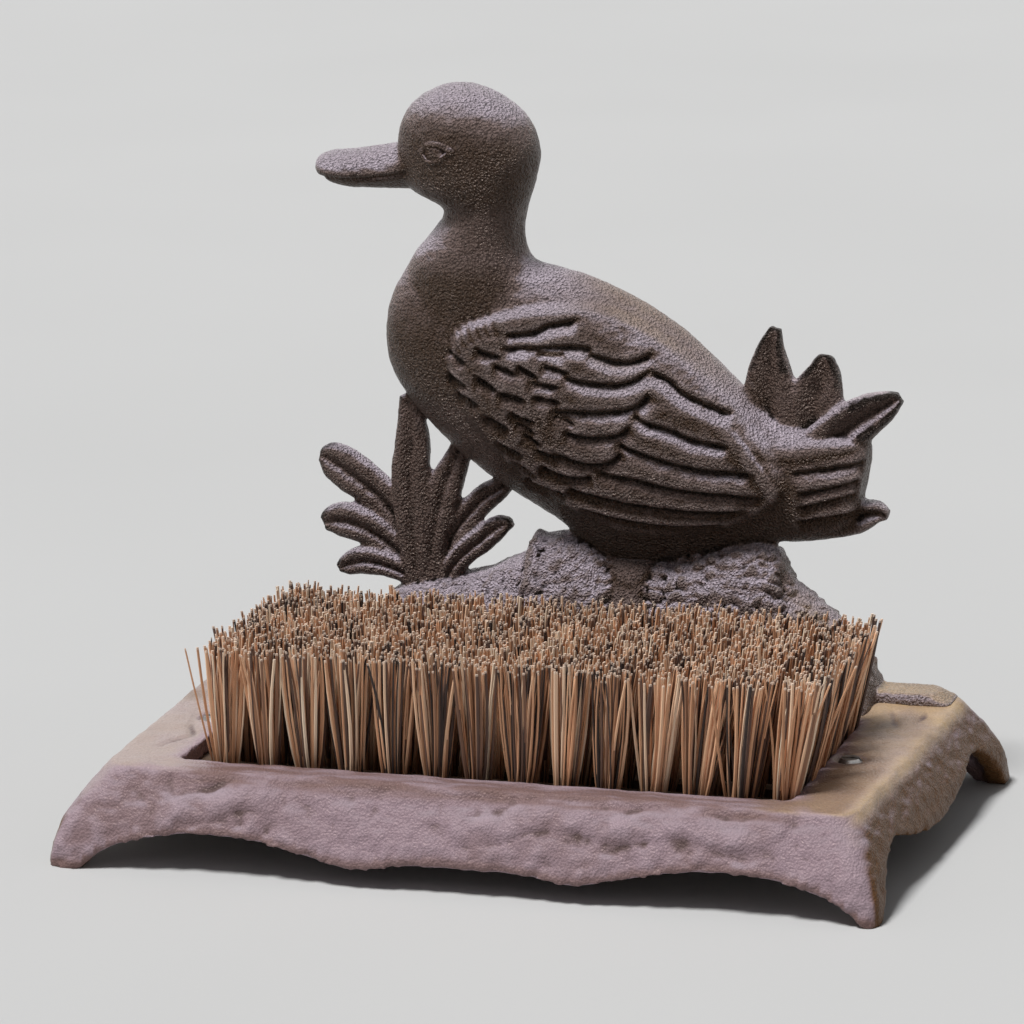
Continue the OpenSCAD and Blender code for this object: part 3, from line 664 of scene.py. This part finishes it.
co, normals = points_of(base)
x, y, z = co.T
front = ramp(-normals[:, 1], 0.4, 0.8) * ramp(-y, 66, 72)
top = ramp(normals[:, 2], 0.8, 0.95) * ramp(z, 32, 33.5)
ends = ramp(np.abs(normals[:, 0]), 0.5, 0.8)
lift = (0.25 * rough(co, 16, 3, 1.0) + front * 0.7 * rough(co, 7, 3, 21.0)
        + 0.26 * rough(co, 6, 3, 5.0) * (1 - top) + 0.08 * rough(co, 2.4, 2, 3.0))
for line in WAVES:
    lift += front * ridge(line, WAVE_HALF, WAVE_OUT, x, z, (0.5, 1.0, 0.6))
lift -= front * ridge(FOLD, FOLD_HALF, FOLD_DEPTH, x, z, (0.3, 1.0, 1.0))
lift += ends * 0.3 * rough(co, 5.0, 3, 6.0)
column = np.round((x + 160) / COLUMN).astype(int)
lowest = np.full(column.max() + 1, 99.0)
np.minimum.at(lowest, column[front > 0.5], z[front > 0.5])
crags = rough(co * np.array([1, 1, 0.5]), 3.6, 3, 15.0)
lift += front * ramp(lowest[column] + 9 - z, 0, 7) * 0.8 * crags
for line in DECK_MARKS:
    lift -= top * ridge(line, MARK_HALF, MARK_DEPTH, x, y, (0.2, 1.0, 0.5))
lift += top * 0.25 * rough(co, 9, 3, 8.0)
lift[z < TOE_FLAT] = 0
put_points(base, co + normals * lift[:, None])
print("base relief from %.1f to %.1f mm" % (lift.min(), lift.max()))

# %% [markdown]
# Tan dirt lies on the end rails and along their outer edges. The ends, the toes, the lip in front of
# the brush, the lower rim of the front skirt, its left half and a worn patch on the right rail are brown.
# These places are zones too, like those of the duck.

# %% Dust, painted sheen, rust and mud on the base
DECK_HALF_L, DECK_HALF_D, DECK_WIDENING = 134, 72, 2
BASE_DEPTH, BASE_SKY, BASE_SOFTENING = 1.1, (0.4, 0.95), 40
TOE_RUST, LIP_RUST, RIM_RUST, WORN_RUST, LEFT_RUST = 0.6, 0.6, 0.5, 0.6, 0.36
LIP_BARE, WORN_CLEAN = 1.2, 0.55

upward = normals[:, 2]
edge = DECK_HALF_L + DECK_WIDENING * y / DECK_HALF_D
outer = np.exp(-((np.abs(x) - edge) / 3.0) ** 2) * ramp(z, 28, 33)
brown_end = np.maximum(ends, ramp(np.abs(x) - edge, 1, 4) * (1 - front)) * (1 - outer)
streaks = 0.75 + 0.5 * rough(co * np.array([0.15, 1, 1]), 3.0, 3, 31.0)
front_lip = ramp(z, 27.5, 31.5) * ramp(-y, 57, 62) * ramp(118 - np.abs(x), 0, 14)
front_lip *= np.clip(streaks, 0, 1)
low_rim = front * ramp(lowest[column] + 5 - z, 0, 4)
worn = ramp(x, 96, 108) * ramp(-y, -30, 30) * ramp(edge - x, 1, 7) * top
# Faces of the base that look up get dust and a painted sky reflection, less on the lip and the worn patch.
recess = weather_and_painted_light(base, BASE_DEPTH, BASE_SKY, -LIP_BARE * front_lip - worn, BASE_SOFTENING)
plain_edge = np.maximum.reduce([front_lip, low_rim, ramp(np.abs(x), 110, 126) * (1 - front)])
keep(base, "recess", np.where(recess < 0, recess * (1 - plain_edge), recess))
end_rails = ramp(upward, 0.6, 0.9) * ramp(np.abs(x), 92, 112)
keep(base, "mud", np.maximum(end_rails, outer) * (1 - WORN_CLEAN * worn))
brown_left = LEFT_RUST * front * ramp(-x, 30, 110)
brown_toes = TOE_RUST * ramp(-z, -9, -4)
keep(base, "rust_and_shade", np.maximum.reduce([brown_end, brown_toes, brown_left, LIP_RUST * front_lip,
                                      RIM_RUST * low_rim, WORN_RUST * worn]))
print("base recess from %.2f to %.2f" % (recess.min(), recess.max()))

# %% [markdown]
# The brush is a wooden stock under the deck, with fourteen tufts in each of six rows.
# Every tuft is a bundle of stiff plant fibres, close together at its foot and spread at the cut tips.
# A hair system could grow them, but a node tree of its own keeps each size a named input,
# and what it grows is a plain mesh. Nodes are added often from here on, so a helper comes first.

# %% Node helper
def add(tree, kind, inputs=None, **settings):
    """Adds a node, sets it up, and feeds its inputs from values or from other nodes' outputs."""
    made = tree.nodes.new(kind)
    for key, value in settings.items():
        setattr(made, key, value)
    for key, value in (inputs or {}).items():
        socket = made.inputs[key] if isinstance(key, int) else next(
            s for s in made.inputs if s.name == key and s.enabled)
        if isinstance(value, bpy.types.NodeSocket):
            tree.links.new(value, socket)
        else:
            socket.default_value = value
    return made


def live(made, name):
    """The output of a node that is in use under a name that several share."""
    return next(s for s in made.outputs if s.name == name and s.enabled)


# %% [markdown]
# Plant fibre runs from dark brown to straw, so each strand has a tone of its own, kept with the mesh.
# Little light gets down between the tufts, so the feet are darker, and the cut tips show pale ends.
# A picture of fibres would blur close up. A value for each strand stays sharp.

# %% Material helpers
def new_material(name):
    """A new material, its node tree and its shader."""
    material = bpy.data.materials.new(name)
    material.use_nodes = True
    tree = material.node_tree
    return material, tree, tree.nodes["Principled BSDF"]


def colour_ramp(tree, factor, stops):
    """Colour that runs through the given stops as the factor goes from 0 to 1."""
    made = add(tree, "ShaderNodeValToRGB", {"Fac": factor})
    elements = made.color_ramp.elements
    while len(elements) < len(stops):
        elements.new(0.5)
    for element, (place, colour) in zip(elements, stops):
        element.position = place
        element.color = (*colour, 1)
    return made.outputs["Color"]


def mix(tree, factor, a, b, blend="MIX"):
    """Colour a where the factor is 0, and b, or a blended with b, where it is 1."""
    made = add(tree, "ShaderNodeMix", {0: factor, 6: a, 7: b}, data_type="RGBA", blend_type=blend)
    return made.outputs[2]


def math_node(tree, operation, a, b=0.0, c=0.0, clamp=False):
    """One sum on values or outputs, held between 0 and 1 if clamp is set."""
    return add(tree, "ShaderNodeMath", {0: a, 1: b, 2: c}, operation=operation, use_clamp=clamp).outputs[0]


# %% Bristle material
TIP_START, TIP_SHARE, TIP_COLOUR = 0.985, 0.65, (0.96, 0.78, 0.64, 1)

bristle_fibre, tree, shader = new_material("bristle_fibre")
tone = add(tree, "ShaderNodeAttribute", attribute_name="tone").outputs["Fac"]
along = add(tree, "ShaderNodeAttribute", attribute_name="along").outputs["Fac"]
fibre = colour_ramp(tree, tone, [(0.0, (0.05, 0.037, 0.034)), (0.25, (0.17, 0.10, 0.075)),
                                 (0.45, (0.56, 0.29, 0.16)), (0.75, (0.95, 0.57, 0.345)),
                                 (1.0, (1.0, 0.82, 0.62))])
low_shade = colour_ramp(tree, along, [(0.0, (0.3, 0.26, 0.24)), (0.2, (0.8, 0.77, 0.75)), (0.4, (1, 1, 1))])
cut_tip = math_node(tree, "MULTIPLY", math_node(tree, "GREATER_THAN", along, TIP_START), TIP_SHARE)
shaded = mix(tree, 1.0, fibre, low_shade, "MULTIPLY")
tree.links.new(mix(tree, cut_tip, shaded, TIP_COLOUR), shader.inputs["Base Color"])
shader.inputs["Roughness"].default_value = 0.55
shader.inputs["Specular IOR Level"].default_value = 0.35
print("bristle material:", bristle_fibre.name)

# %% [markdown]
# One node tree grows all the tufts. It copies each tuft point into strands, gives every strand
# a foot and a tip, and bends one small rod between the two. The rod has few faces, because it is
# repeated thousands of times. Realize Instances then makes a plain mesh of the copies.
# The tree is built from small helpers, each of which adds a node or two and gives their output.

# %% Helpers for the tuft tree
def given(tree, name):
    """One of the tree's named inputs."""
    return tree.nodes["given"].outputs[name]


def chance(tree, low, high, salt):
    """A number by chance for each strand. Another salt gives other numbers."""
    index = add(tree, "GeometryNodeInputIndex").outputs[0]
    seed = math_node(tree, "ADD", given(tree, "Seed"), salt)
    return add(tree, "FunctionNodeRandomValue", {2: low, 3: high, 7: index, 8: seed}).outputs[1]


def vector(tree, operation, a, b=None, scale=None):
    """One sum on vectors, with a second vector or a number."""
    made = add(tree, "ShaderNodeVectorMath", {0: a}, operation=operation)
    if b is not None:
        tree.links.new(b, made.inputs[1])
    if scale is not None:
        tree.links.new(scale, made.inputs["Scale"])
    return made.outputs[0]


def flat_vector(tree, first, second):
    """A vector without height."""
    return add(tree, "ShaderNodeCombineXYZ", {0: first, 1: second}).outputs[0]


def named(tree, name, kind="FLOAT_VECTOR"):
    """A value that is kept with the points under a name."""
    made = add(tree, "GeometryNodeInputNamedAttribute", {"Name": name}, data_type=kind)
    return live(made, "Attribute")


def store(tree, geometry, name, value, kind="FLOAT_VECTOR"):
    """Keeps a value with the points under a name."""
    return add(tree, "GeometryNodeStoreNamedAttribute",
               {"Geometry": geometry, "Name": name, "Value": value}, data_type=kind).outputs[0]


# %% Strands with a foot and a tip
THINNEST, THICKEST = 0.55, 1.3
WILD_RARITY, WILD_REACH = 14.0, 8.0


def plant_strands(tree):
    """Copies each tuft point into strands, and keeps the foot, tip, bow, thickness and tone of each."""
    place = add(tree, "GeometryNodeInputPosition").outputs[0]
    tufts = add(tree, "GeometryNodeMeshToPoints", {"Mesh": given(tree, "Geometry")}).outputs[0]
    strands = add(tree, "GeometryNodeDuplicateElements",
                  {"Geometry": tufts, "Amount": named(tree, "strands", "INT")}, domain="POINT").outputs[0]
    turn = chance(tree, 0.0, 2 * math.pi, 1)
    out = math_node(tree, "SQRT", chance(tree, 0.0, 1.0, 2))
    disc = flat_vector(tree, math_node(tree, "MULTIPLY", out, math_node(tree, "COSINE", turn)),
                       math_node(tree, "MULTIPLY", out, math_node(tree, "SINE", turn)))
    foot = vector(tree, "ADD", place, vector(tree, "SCALE", disc, scale=given(tree, "Foot radius")))
    uneven = math_node(tree, "MULTIPLY", given(tree, "Raggedness"), chance(tree, -1.0, 1.0, 3))
    length = math_node(tree, "ADD", given(tree, "Length"), uneven)
    height = add(tree, "ShaderNodeCombineXYZ", {2: length}).outputs[0]
    stray = flat_vector(tree, chance(tree, -1.0, 1.0, 4), chance(tree, -1.0, 1.0, 5))
    rare = math_node(tree, "POWER", chance(tree, 0.0, 1.0, 10), WILD_RARITY)
    wild = math_node(tree, "MULTIPLY", rare, WILD_REACH)
    reach = math_node(tree, "MULTIPLY", given(tree, "Sway"), math_node(tree, "ADD", 1.0, wild))
    spread = vector(tree, "ADD", place, vector(tree, "SCALE", disc, scale=given(tree, "Tip radius")))
    rise = vector(tree, "ADD", vector(tree, "ADD", height, named(tree, "lean")),
                  vector(tree, "SCALE", stray, scale=reach))
    sideways = flat_vector(tree, chance(tree, -1.0, 1.0, 6), chance(tree, -1.0, 1.0, 7))
    bow = vector(tree, "SCALE", sideways, scale=given(tree, "Sway"))
    thick = math_node(tree, "MULTIPLY", given(tree, "Strand radius"), chance(tree, THINNEST, THICKEST, 8))
    tone = math_node(tree, "ADD", chance(tree, 0.0, 1.0, 9), named(tree, "shade", "FLOAT"))
    strands = store(tree, strands, "foot", foot)
    strands = store(tree, strands, "tip", vector(tree, "ADD", spread, rise))
    strands = store(tree, strands, "bow", bow)
    strands = store(tree, strands, "thick", thick, "FLOAT")
    return store(tree, strands, "tone", tone, "FLOAT")


# %% Rods bent from foot to tip
ROD_SIDES, ROD_PARTS, TAPER = 4, 4, 0.25


def bend_rods(tree, strands):
    """Puts a small rod on each strand, and bends it from the foot to the tip."""
    place = add(tree, "GeometryNodeInputPosition").outputs[0]
    rod = add(tree, "GeometryNodeMeshCylinder",
              {"Vertices": ROD_SIDES, "Side Segments": ROD_PARTS, "Radius": 1.0, "Depth": 1.0}).outputs[0]
    apart = add(tree, "ShaderNodeSeparateXYZ", {0: place}).outputs
    rod = store(tree, rod, "along", math_node(tree, "ADD", apart[2], 0.5), "FLOAT")
    rod = store(tree, rod, "rim", flat_vector(tree, apart[0], apart[1]))
    grown = add(tree, "GeometryNodeInstanceOnPoints", {"Points": strands, "Instance": rod}).outputs[0]
    grown = add(tree, "GeometryNodeRealizeInstances", {"Geometry": grown}).outputs[0]
    along = named(tree, "along", "FLOAT")
    left_over = math_node(tree, "SUBTRACT", 1.0, along)
    arc = math_node(tree, "MULTIPLY", math_node(tree, "MULTIPLY", along, 4.0), left_over)
    taper = math_node(tree, "SUBTRACT", 1.0, math_node(tree, "MULTIPLY", along, TAPER))
    whole = vector(tree, "SUBTRACT", named(tree, "tip"), named(tree, "foot"))
    run = vector(tree, "SCALE", whole, scale=along)
    bent = vector(tree, "ADD", vector(tree, "ADD", named(tree, "foot"), run),
                  vector(tree, "SCALE", named(tree, "bow"), scale=arc))
    radius = math_node(tree, "MULTIPLY", named(tree, "thick", "FLOAT"), taper)
    wall = vector(tree, "SCALE", named(tree, "rim"), scale=radius)
    return add(tree, "GeometryNodeSetPosition",
               {"Geometry": grown, "Position": vector(tree, "ADD", bent, wall)}).outputs[0]


# %% Tuft tree
def tuft_tree():
    """The node tree that grows a row of tufts from points, with its sizes as named inputs."""
    tree = bpy.data.node_groups.new("bristle tufts", "GeometryNodeTree")
    tree.interface.new_socket("Geometry", in_out="INPUT", socket_type="NodeSocketGeometry")
    for name, kind in [("Foot radius", "Float"), ("Tip radius", "Float"), ("Length", "Float"),
                       ("Raggedness", "Float"), ("Sway", "Float"), ("Strand radius", "Float"),
                       ("Seed", "Int"), ("Material", "Material")]:
        tree.interface.new_socket(name, in_out="INPUT", socket_type="NodeSocket" + kind)
    tree.interface.new_socket("Geometry", in_out="OUTPUT", socket_type="NodeSocketGeometry")
    tree.nodes.new("NodeGroupInput").name = "given"
    grown = bend_rods(tree, plant_strands(tree))
    grown = add(tree, "GeometryNodeSetMaterial",
                {"Geometry": grown, "Material": given(tree, "Material")}).outputs[0]
    result = tree.nodes.new("NodeGroupOutput")
    tree.links.new(grown, result.inputs[0])
    return tree


grower = tuft_tree()
print("tuft tree:", len(grower.nodes), "nodes")

# %% [markdown]
# Each row of the measured brush gets its own grown row. A tuft leans and has a shade by chance,
# and the tufts at the right end lean outwards most, as on a brush that has been pushed that way.
# The seeds are fixed, so that the same brush grows every time.

# %% Grow the six rows
ROWS, TUFTS = 6, 14
ROW_PITCH, TUFT_PITCH = 14.8, 15.0
FIRST_ROW, FIRST_TUFT = -52.0, -93.0
ROOT_Z, TIP_Z, END_LEAN = 26.0, 71.5, 7.0
STRANDS = 62
STRAY = 0.8
DARKEST, LIGHTEST = -0.14, 0.17
GROWTH = {"Foot radius": 3.8 * MM, "Tip radius": 8.3 * MM, "Length": (TIP_Z - ROOT_Z) * MM,
          "Raggedness": 1.7 * MM, "Sway": 1.3 * MM, "Strand radius": 0.55 * MM, "Material": bristle_fibre}
SPARES = ("foot", "tip", "bow", "thick", "rim", "lean", "shade", "strands")

sockets = {s.name: s.identifier for s in grower.interface.items_tree if s.in_out == "INPUT"}
chances = np.random.default_rng(7)
brush_rows = []
for i in range(ROWS):
    tufts = [[FIRST_TUFT + TUFT_PITCH * j, FIRST_ROW + ROW_PITCH * i, ROOT_Z] for j in range(TUFTS)]
    lean = [[END_LEAN * (j / (TUFTS - 1)) ** 2 + chances.uniform(-STRAY, STRAY),
             chances.uniform(-STRAY, STRAY), 0] for j in range(TUFTS)]
    shade = chances.uniform(DARKEST, LIGHTEST, TUFTS)
    mesh = bpy.data.meshes.new("tuft_points")
    mesh.from_pydata((np.array(tufts) * MM).tolist(), [], [])
    lean_layer = mesh.attributes.new("lean", "FLOAT_VECTOR", "POINT")
    lean_layer.data.foreach_set("vector", (np.array(lean) * MM).ravel())
    mesh.attributes.new("shade", "FLOAT", "POINT").data.foreach_set("value", shade)
    mesh.attributes.new("strands", "INT", "POINT").data.foreach_set("value", np.full(TUFTS, STRANDS))
    row = bpy.data.objects.new("grown_row_%d" % (i + 1), mesh)
    bpy.context.scene.collection.objects.link(row)
    growth = row.modifiers.new("growth", "NODES")
    growth.node_group = grower
    for name, value in GROWTH.items():
        growth[sockets[name]] = value
    growth[sockets["Seed"]] = 100 * (i + 1)
    settle(row)
    for spare in SPARES:
        if spare in row.data.attributes:
            row.data.attributes.remove(row.data.attributes[spare])
    brush_rows.append(row)
print("strands:", ROWS * TUFTS * STRANDS, "faces:", sum(len(r.data.polygons) for r in brush_rows))

# %% [markdown]
# The castings carry a thin coat over the iron, dark brown on the duck and lilac grey on the base.
# Their grain comes from the sand mould, so it is a bump at the size of coarse sand. The grain also darkens
# the colour in its pits, with dirt and painted shade, and lightens it on its tops as painted glints.
# Colour follows the kept values: dark in hollows, with dirt and painted shade, pale on raised edges, rubbed
# and with a painted highlight, and lighter up to lilac grey where the metal faces up, with dust and a painted
# sky reflection. It is brown where it has rusted, and on the duck darker where it faces down, as painted
# shade, and tan where dirt lies. Noise makes the rust, dust, painted sheen and dirt patchy.
# One function makes both finishes, so that they differ only in their colours and strengths.

# %% Grain and ranges
def grain(tree, scale, detail):
    """Noise in the object's own space."""
    place = add(tree, "ShaderNodeTexCoord").outputs["Object"]
    noisy = add(tree, "ShaderNodeTexNoise", {"Vector": place, "Scale": scale, "Detail": detail})
    return noisy.outputs["Fac"]


def stretch_range(tree, value, inputs):
    """Maps a value from one range to another, both 0 to 1 where nothing else is given."""
    return add(tree, "ShaderNodeMapRange", {"Value": value, **inputs}).outputs[0]


# %% Iron finish
CLOUD_SCALE, PATCH_SCALE, GRANULE_SCALE, SAND_SCALE = 60.0, 28.0, 1100.0, 1250.0
BUMP_DISTANCE = 0.003
SPECULAR_TINT = (1.0, 0.78, 0.68, 1)


def iron(name, side, warm, sky, rust_and_shade, mud_left, mud_right, mud_dark, hollow, edge,
         crevice, bump, speckle, gloss, stain):
    """Finish of a casting, from its colours and the strength of its marks."""
    material, tree, shader = new_material(name)
    recess, dust_and_sheen, brown, dirt = [add(tree, "ShaderNodeAttribute", attribute_name=n).outputs["Fac"]
                                 for n in ("recess", "dust_and_sheen", "rust_and_shade", "mud")]
    cloud = grain(tree, CLOUD_SCALE, 4.0)
    patch = grain(tree, PATCH_SCALE, 5.0)
    place = add(tree, "ShaderNodeTexCoord").outputs["Object"]
    granules = add(tree, "ShaderNodeTexVoronoi", {"Vector": place, "Scale": GRANULE_SCALE, "Smoothness": 0.3},
                   feature="SMOOTH_F1").outputs["Distance"]
    half_granules = math_node(tree, "MULTIPLY", granules, 0.5)
    sand = math_node(tree, "SUBTRACT", grain(tree, SAND_SCALE, 2.0), half_granules)
    stained = stretch_range(tree, patch, {"From Min": 0.48, "From Max": 0.68, "To Max": stain})
    # Rust and stains turn the colour brown; on the duck's downward faces this darker brown is painted shade.
    colour = mix(tree, math_node(tree, "MAXIMUM", brown, stained), (*side, 1), (*rust_and_shade, 1))
    # Faces that look up turn warm and then lilac grey: dust and a painted reflection of the sky.
    patchy = math_node(tree, "MULTIPLY", dust_and_sheen, math_node(tree, "MULTIPLY_ADD", cloud, 0.4, 0.8), clamp=True)
    colour = mix(tree, math_node(tree, "MULTIPLY", patchy, 2.0, clamp=True), colour, (*warm, 1))
    colour = mix(tree, math_node(tree, "MULTIPLY_ADD", patchy, 2.0, -1.0, clamp=True), colour, (*sky, 1))
    along_rail = add(tree, "ShaderNodeSeparateXYZ", {0: place}).outputs[0]
    to_right = stretch_range(tree, along_rail, {"From Min": -0.04, "From Max": 0.08})
    mud = mix(tree, to_right, (*mud_left, 1), (*mud_right, 1))
    wet = stretch_range(tree, patch, {"From Min": 0.5, "From Max": 0.66, "To Max": 0.7})
    mud = mix(tree, wet, mud, (*mud_dark, 1))
    muddy = math_node(tree, "MULTIPLY", dirt, math_node(tree, "ADD", 0.4, cloud), clamp=True)
    colour = mix(tree, muddy, colour, mud)
    # Hollows go dark: dirt and painted shade.
    deep = math_node(tree, "MULTIPLY", math_node(tree, "SUBTRACT", recess, crevice), 2.2, clamp=True)
    colour = mix(tree, deep, colour, (*hollow, 1))
    # Raised edges take the edge colour: rubbed metal with a painted highlight.
    proud = math_node(tree, "MULTIPLY", math_node(tree, "ADD", recess, 0.15), -1.1, clamp=True)
    colour = mix(tree, proud, colour, (*edge, 1))
    # The grain darkens its pits and lightens its tops: dirt and painted shade below, painted glints above.
    speck = stretch_range(tree, sand, {"From Min": 0.0, "From Max": 0.4,
                                       "To Min": 1 - speckle, "To Max": 1 + speckle})
    tree.links.new(mix(tree, 1.0, colour, speck, "MULTIPLY"), shader.inputs["Base Color"])
    shader.inputs["Specular IOR Level"].default_value = gloss
    shader.inputs["Specular Tint"].default_value = SPECULAR_TINT
    dullness = stretch_range(tree, cloud, {"To Min": 0.22, "To Max": 0.36})
    tree.links.new(dullness, shader.inputs["Roughness"])
    depth = stretch_range(tree, dirt, {"To Min": bump, "To Max": 0.5 * bump})
    fine = add(tree, "ShaderNodeBump", {"Height": sand, "Strength": depth, "Distance": BUMP_DISTANCE})
    tree.links.new(fine.outputs[0], shader.inputs["Normal"])
    return material


# %% [markdown]
# The duck is nearly black brown with a soft gloss, and dust with a painted sky reflection shows strongly on
# it.
# The base is paler and duller, with patches of rust and dirt.

# %% Finishes of the two castings
# Sky is the colour of the painted sky reflection on faces that look up, and warm is the step before it. Edge
# is rubbed metal with a painted highlight, and hollow is dirt with painted shade. On the duck, rust is
# painted shade on faces that look down.
duck_iron = iron("duck_iron", side=(0.054, 0.031, 0.0185), warm=(0.235, 0.172, 0.16),
                 sky=(0.57, 0.49, 0.56), rust_and_shade=(0.036, 0.021, 0.013), mud_left=(0.40, 0.32, 0.28),
                 mud_right=(0.38, 0.275, 0.18), mud_dark=(0.18, 0.125, 0.09),
                 hollow=(0.005, 0.003, 0.002), edge=(0.30, 0.235, 0.225),
                 crevice=0.35, bump=1.0, speckle=0.3, gloss=0.44, stain=0.1)
base_iron = iron("base_iron", side=(0.338, 0.245, 0.277), warm=(0.34, 0.26, 0.29),
                 sky=(0.38, 0.30, 0.34), rust_and_shade=(0.125, 0.060, 0.024), mud_left=(0.43, 0.34, 0.305),
                 mud_right=(0.50, 0.35, 0.20), mud_dark=(0.20, 0.13, 0.085),
                 hollow=(0.13, 0.088, 0.085), edge=(0.38, 0.285, 0.32),
                 crevice=0.16, bump=0.33, speckle=0.08, gloss=0.14, stain=0.45)
for casting, finish in ((duck, duck_iron), (base, base_iron)):
    casting.data.materials.clear()
    casting.data.materials.append(finish)
print("finishes:", duck_iron.name, base_iron.name)

# %% [markdown]
# The stock is plain dark wood, seen only in the gaps between the tufts.
# The two brush screws are bright steel, and the bolts and washers under the deck are dull zinc.
# The measured parts already have these plain shapes, so only a material is added to them.

# %% Wood and steel
stock_wood, tree, shader = new_material("stock_wood")
place = add(tree, "ShaderNodeTexCoord").outputs["Object"]
stretch = add(tree, "ShaderNodeMapping", {"Vector": place, "Scale": (8, 160, 160)}).outputs[0]
streak = add(tree, "ShaderNodeTexNoise", {"Vector": stretch, "Scale": 1.0, "Detail": 5.0}).outputs["Fac"]
tree.links.new(colour_ramp(tree, streak, [(0.3, (0.03, 0.018, 0.011)), (0.7, (0.10, 0.06, 0.036))]),
               shader.inputs["Base Color"])
shader.inputs["Roughness"].default_value = 0.8


def steel(name, dark, bright, roughness):
    """Metal with small darker spots."""
    material, tree, shader = new_material(name)
    spots = grain(tree, 260.0, 4.0)
    tree.links.new(colour_ramp(tree, spots, [(0.35, dark), (0.6, bright)]), shader.inputs["Base Color"])
    shader.inputs["Metallic"].default_value = 0.9
    shader.inputs["Roughness"].default_value = roughness
    return material


def dress(node, material):
    """Gives a measured part its finish."""
    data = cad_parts[node].data
    data.materials.clear()
    data.materials.append(material)


dress("brush_stock", stock_wood)
dress("brush_screws", steel("bright_steel", (0.10, 0.10, 0.10), (0.34, 0.33, 0.32), 0.38))
dull_zinc = steel("dull_zinc", (0.20, 0.17, 0.14), (0.45, 0.44, 0.42), 0.5)
dress("duck_bolts", dull_zinc)
dress("duck_washers", dull_zinc)
print("dressed with", stock_wood.name, "and", dull_zinc.name)

# %% [markdown]
# Each grown piece stands in for its measured part and moves with it.
# Nothing on this object moves by itself, so everything rides on the one root body.

# %% Tie the pieces to the measured parts
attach(duck, "root")
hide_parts("duck_figure")
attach(base, "root")
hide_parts("base_frame")
for i, row in enumerate(brush_rows):
    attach(row, "root")
    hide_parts("bristle_row_%d" % (i + 1))
print("pieces in place of measured parts:", 2 + len(brush_rows))

# %% [markdown]
# The object stands on a pale floor that is large enough to reach past the picture on every side.
# A plain colour with a faint cloud in it keeps the eye on the object and still takes its shadow.

# %% Floor
FLOOR_HALF = 8

floor_mesh = bpy.data.meshes.new("floor")
corners = [(-FLOOR_HALF, -FLOOR_HALF, 0), (FLOOR_HALF, -FLOOR_HALF, 0),
           (FLOOR_HALF, FLOOR_HALF, 0), (-FLOOR_HALF, FLOOR_HALF, 0)]
floor_mesh.from_pydata(corners, [], [(0, 1, 2, 3)])
floor = bpy.data.objects.new("floor", floor_mesh)
bpy.context.scene.collection.objects.link(floor)
pale, tree, shader = new_material("pale_floor")
shades = [(0.3, (0.58, 0.58, 0.575)), (0.7, (0.60, 0.60, 0.595))]
tree.links.new(colour_ramp(tree, grain(tree, 3.0, 2.0), shades), shader.inputs["Base Color"])
shader.inputs["Roughness"].default_value = 0.9
floor_mesh.materials.append(pale)
print("floor", 2 * FLOOR_HALF, "m wide")

# %% [markdown]
# One soft light stands overhead, a little to the front and left, and a weak even light comes from all round.
# The backdrop that the camera and the shiny metal see is plain white, without lighting the object more.

# %% Light
AMBIENT, SUN, SUN_ANGLE = 0.14, 3.1, math.radians(16)
SUN_WAY = Vector((0.22, 0.30, -0.93))

world = bpy.data.worlds.new("studio")
bpy.context.scene.world = world
world.use_nodes = True
tree = world.node_tree
ambient = tree.nodes["Background"]
ambient.inputs["Color"].default_value = (0.96, 0.97, 1.0, 1)
ambient.inputs["Strength"].default_value = AMBIENT
backdrop = add(tree, "ShaderNodeBackground", {"Color": (1, 1, 1, 1), "Strength": 1.0})
path = add(tree, "ShaderNodeLightPath").outputs
seen = math_node(tree, "ADD", path["Is Camera Ray"], path["Is Glossy Ray"])
seen = math_node(tree, "ADD", seen, path["Is Transmission Ray"], clamp=True)
both = add(tree, "ShaderNodeMixShader", {0: seen, 1: ambient.outputs[0], 2: backdrop.outputs[0]})
tree.links.new(both.outputs[0], tree.nodes["World Output"].inputs["Surface"])

lamp_data = bpy.data.lights.new("soft_light", "SUN")
lamp_data.energy = SUN
lamp_data.angle = SUN_ANGLE
lamp = bpy.data.objects.new("soft_light", lamp_data)
lamp.rotation_euler = SUN_WAY.to_track_quat("-Z", "Y").to_euler()
bpy.context.scene.collection.objects.link(lamp)
print("light strength", SUN, "and", AMBIENT, "all round")

# %% [markdown]
# The camera stands about 1.7 m away with a long lens. It looks down a little, from the right of the front,
# and is turned slightly about its own line of sight. A long lens from far away keeps the sides
# of the base nearly parallel.

# %% Camera
AZIMUTH, ELEVATION, ROLL = math.radians(18.545), math.radians(14.445), math.radians(-1.803)
AIM, REACH = Vector((-0.005915, 0, 0.1097)), 1.6957
LENS, SENSOR, FARTHEST = 175.8, 36, 50
forward = Vector((-math.sin(AZIMUTH) * math.cos(ELEVATION), math.cos(AZIMUTH) * math.cos(ELEVATION),
                  -math.sin(ELEVATION)))
level = Vector((math.cos(AZIMUTH), math.sin(AZIMUTH), 0))
above = level.cross(forward)
right = level * math.cos(ROLL) + above * math.sin(ROLL)
up = above * math.cos(ROLL) - level * math.sin(ROLL)
camera_data = bpy.data.cameras.new("camera")
camera_data.sensor_width = SENSOR
camera_data.lens = LENS
camera_data.clip_end = FARTHEST
camera = bpy.data.objects.new("camera", camera_data)
pose = Matrix((right, up, -forward)).transposed().to_4x4()
pose.translation = AIM - forward * REACH
camera.matrix_world = pose
bpy.context.scene.collection.objects.link(camera)
bpy.context.scene.camera = camera
bpy.context.scene.view_settings.view_transform = "Standard"
print("camera at", [round(v, 3) for v in camera.matrix_world.translation])
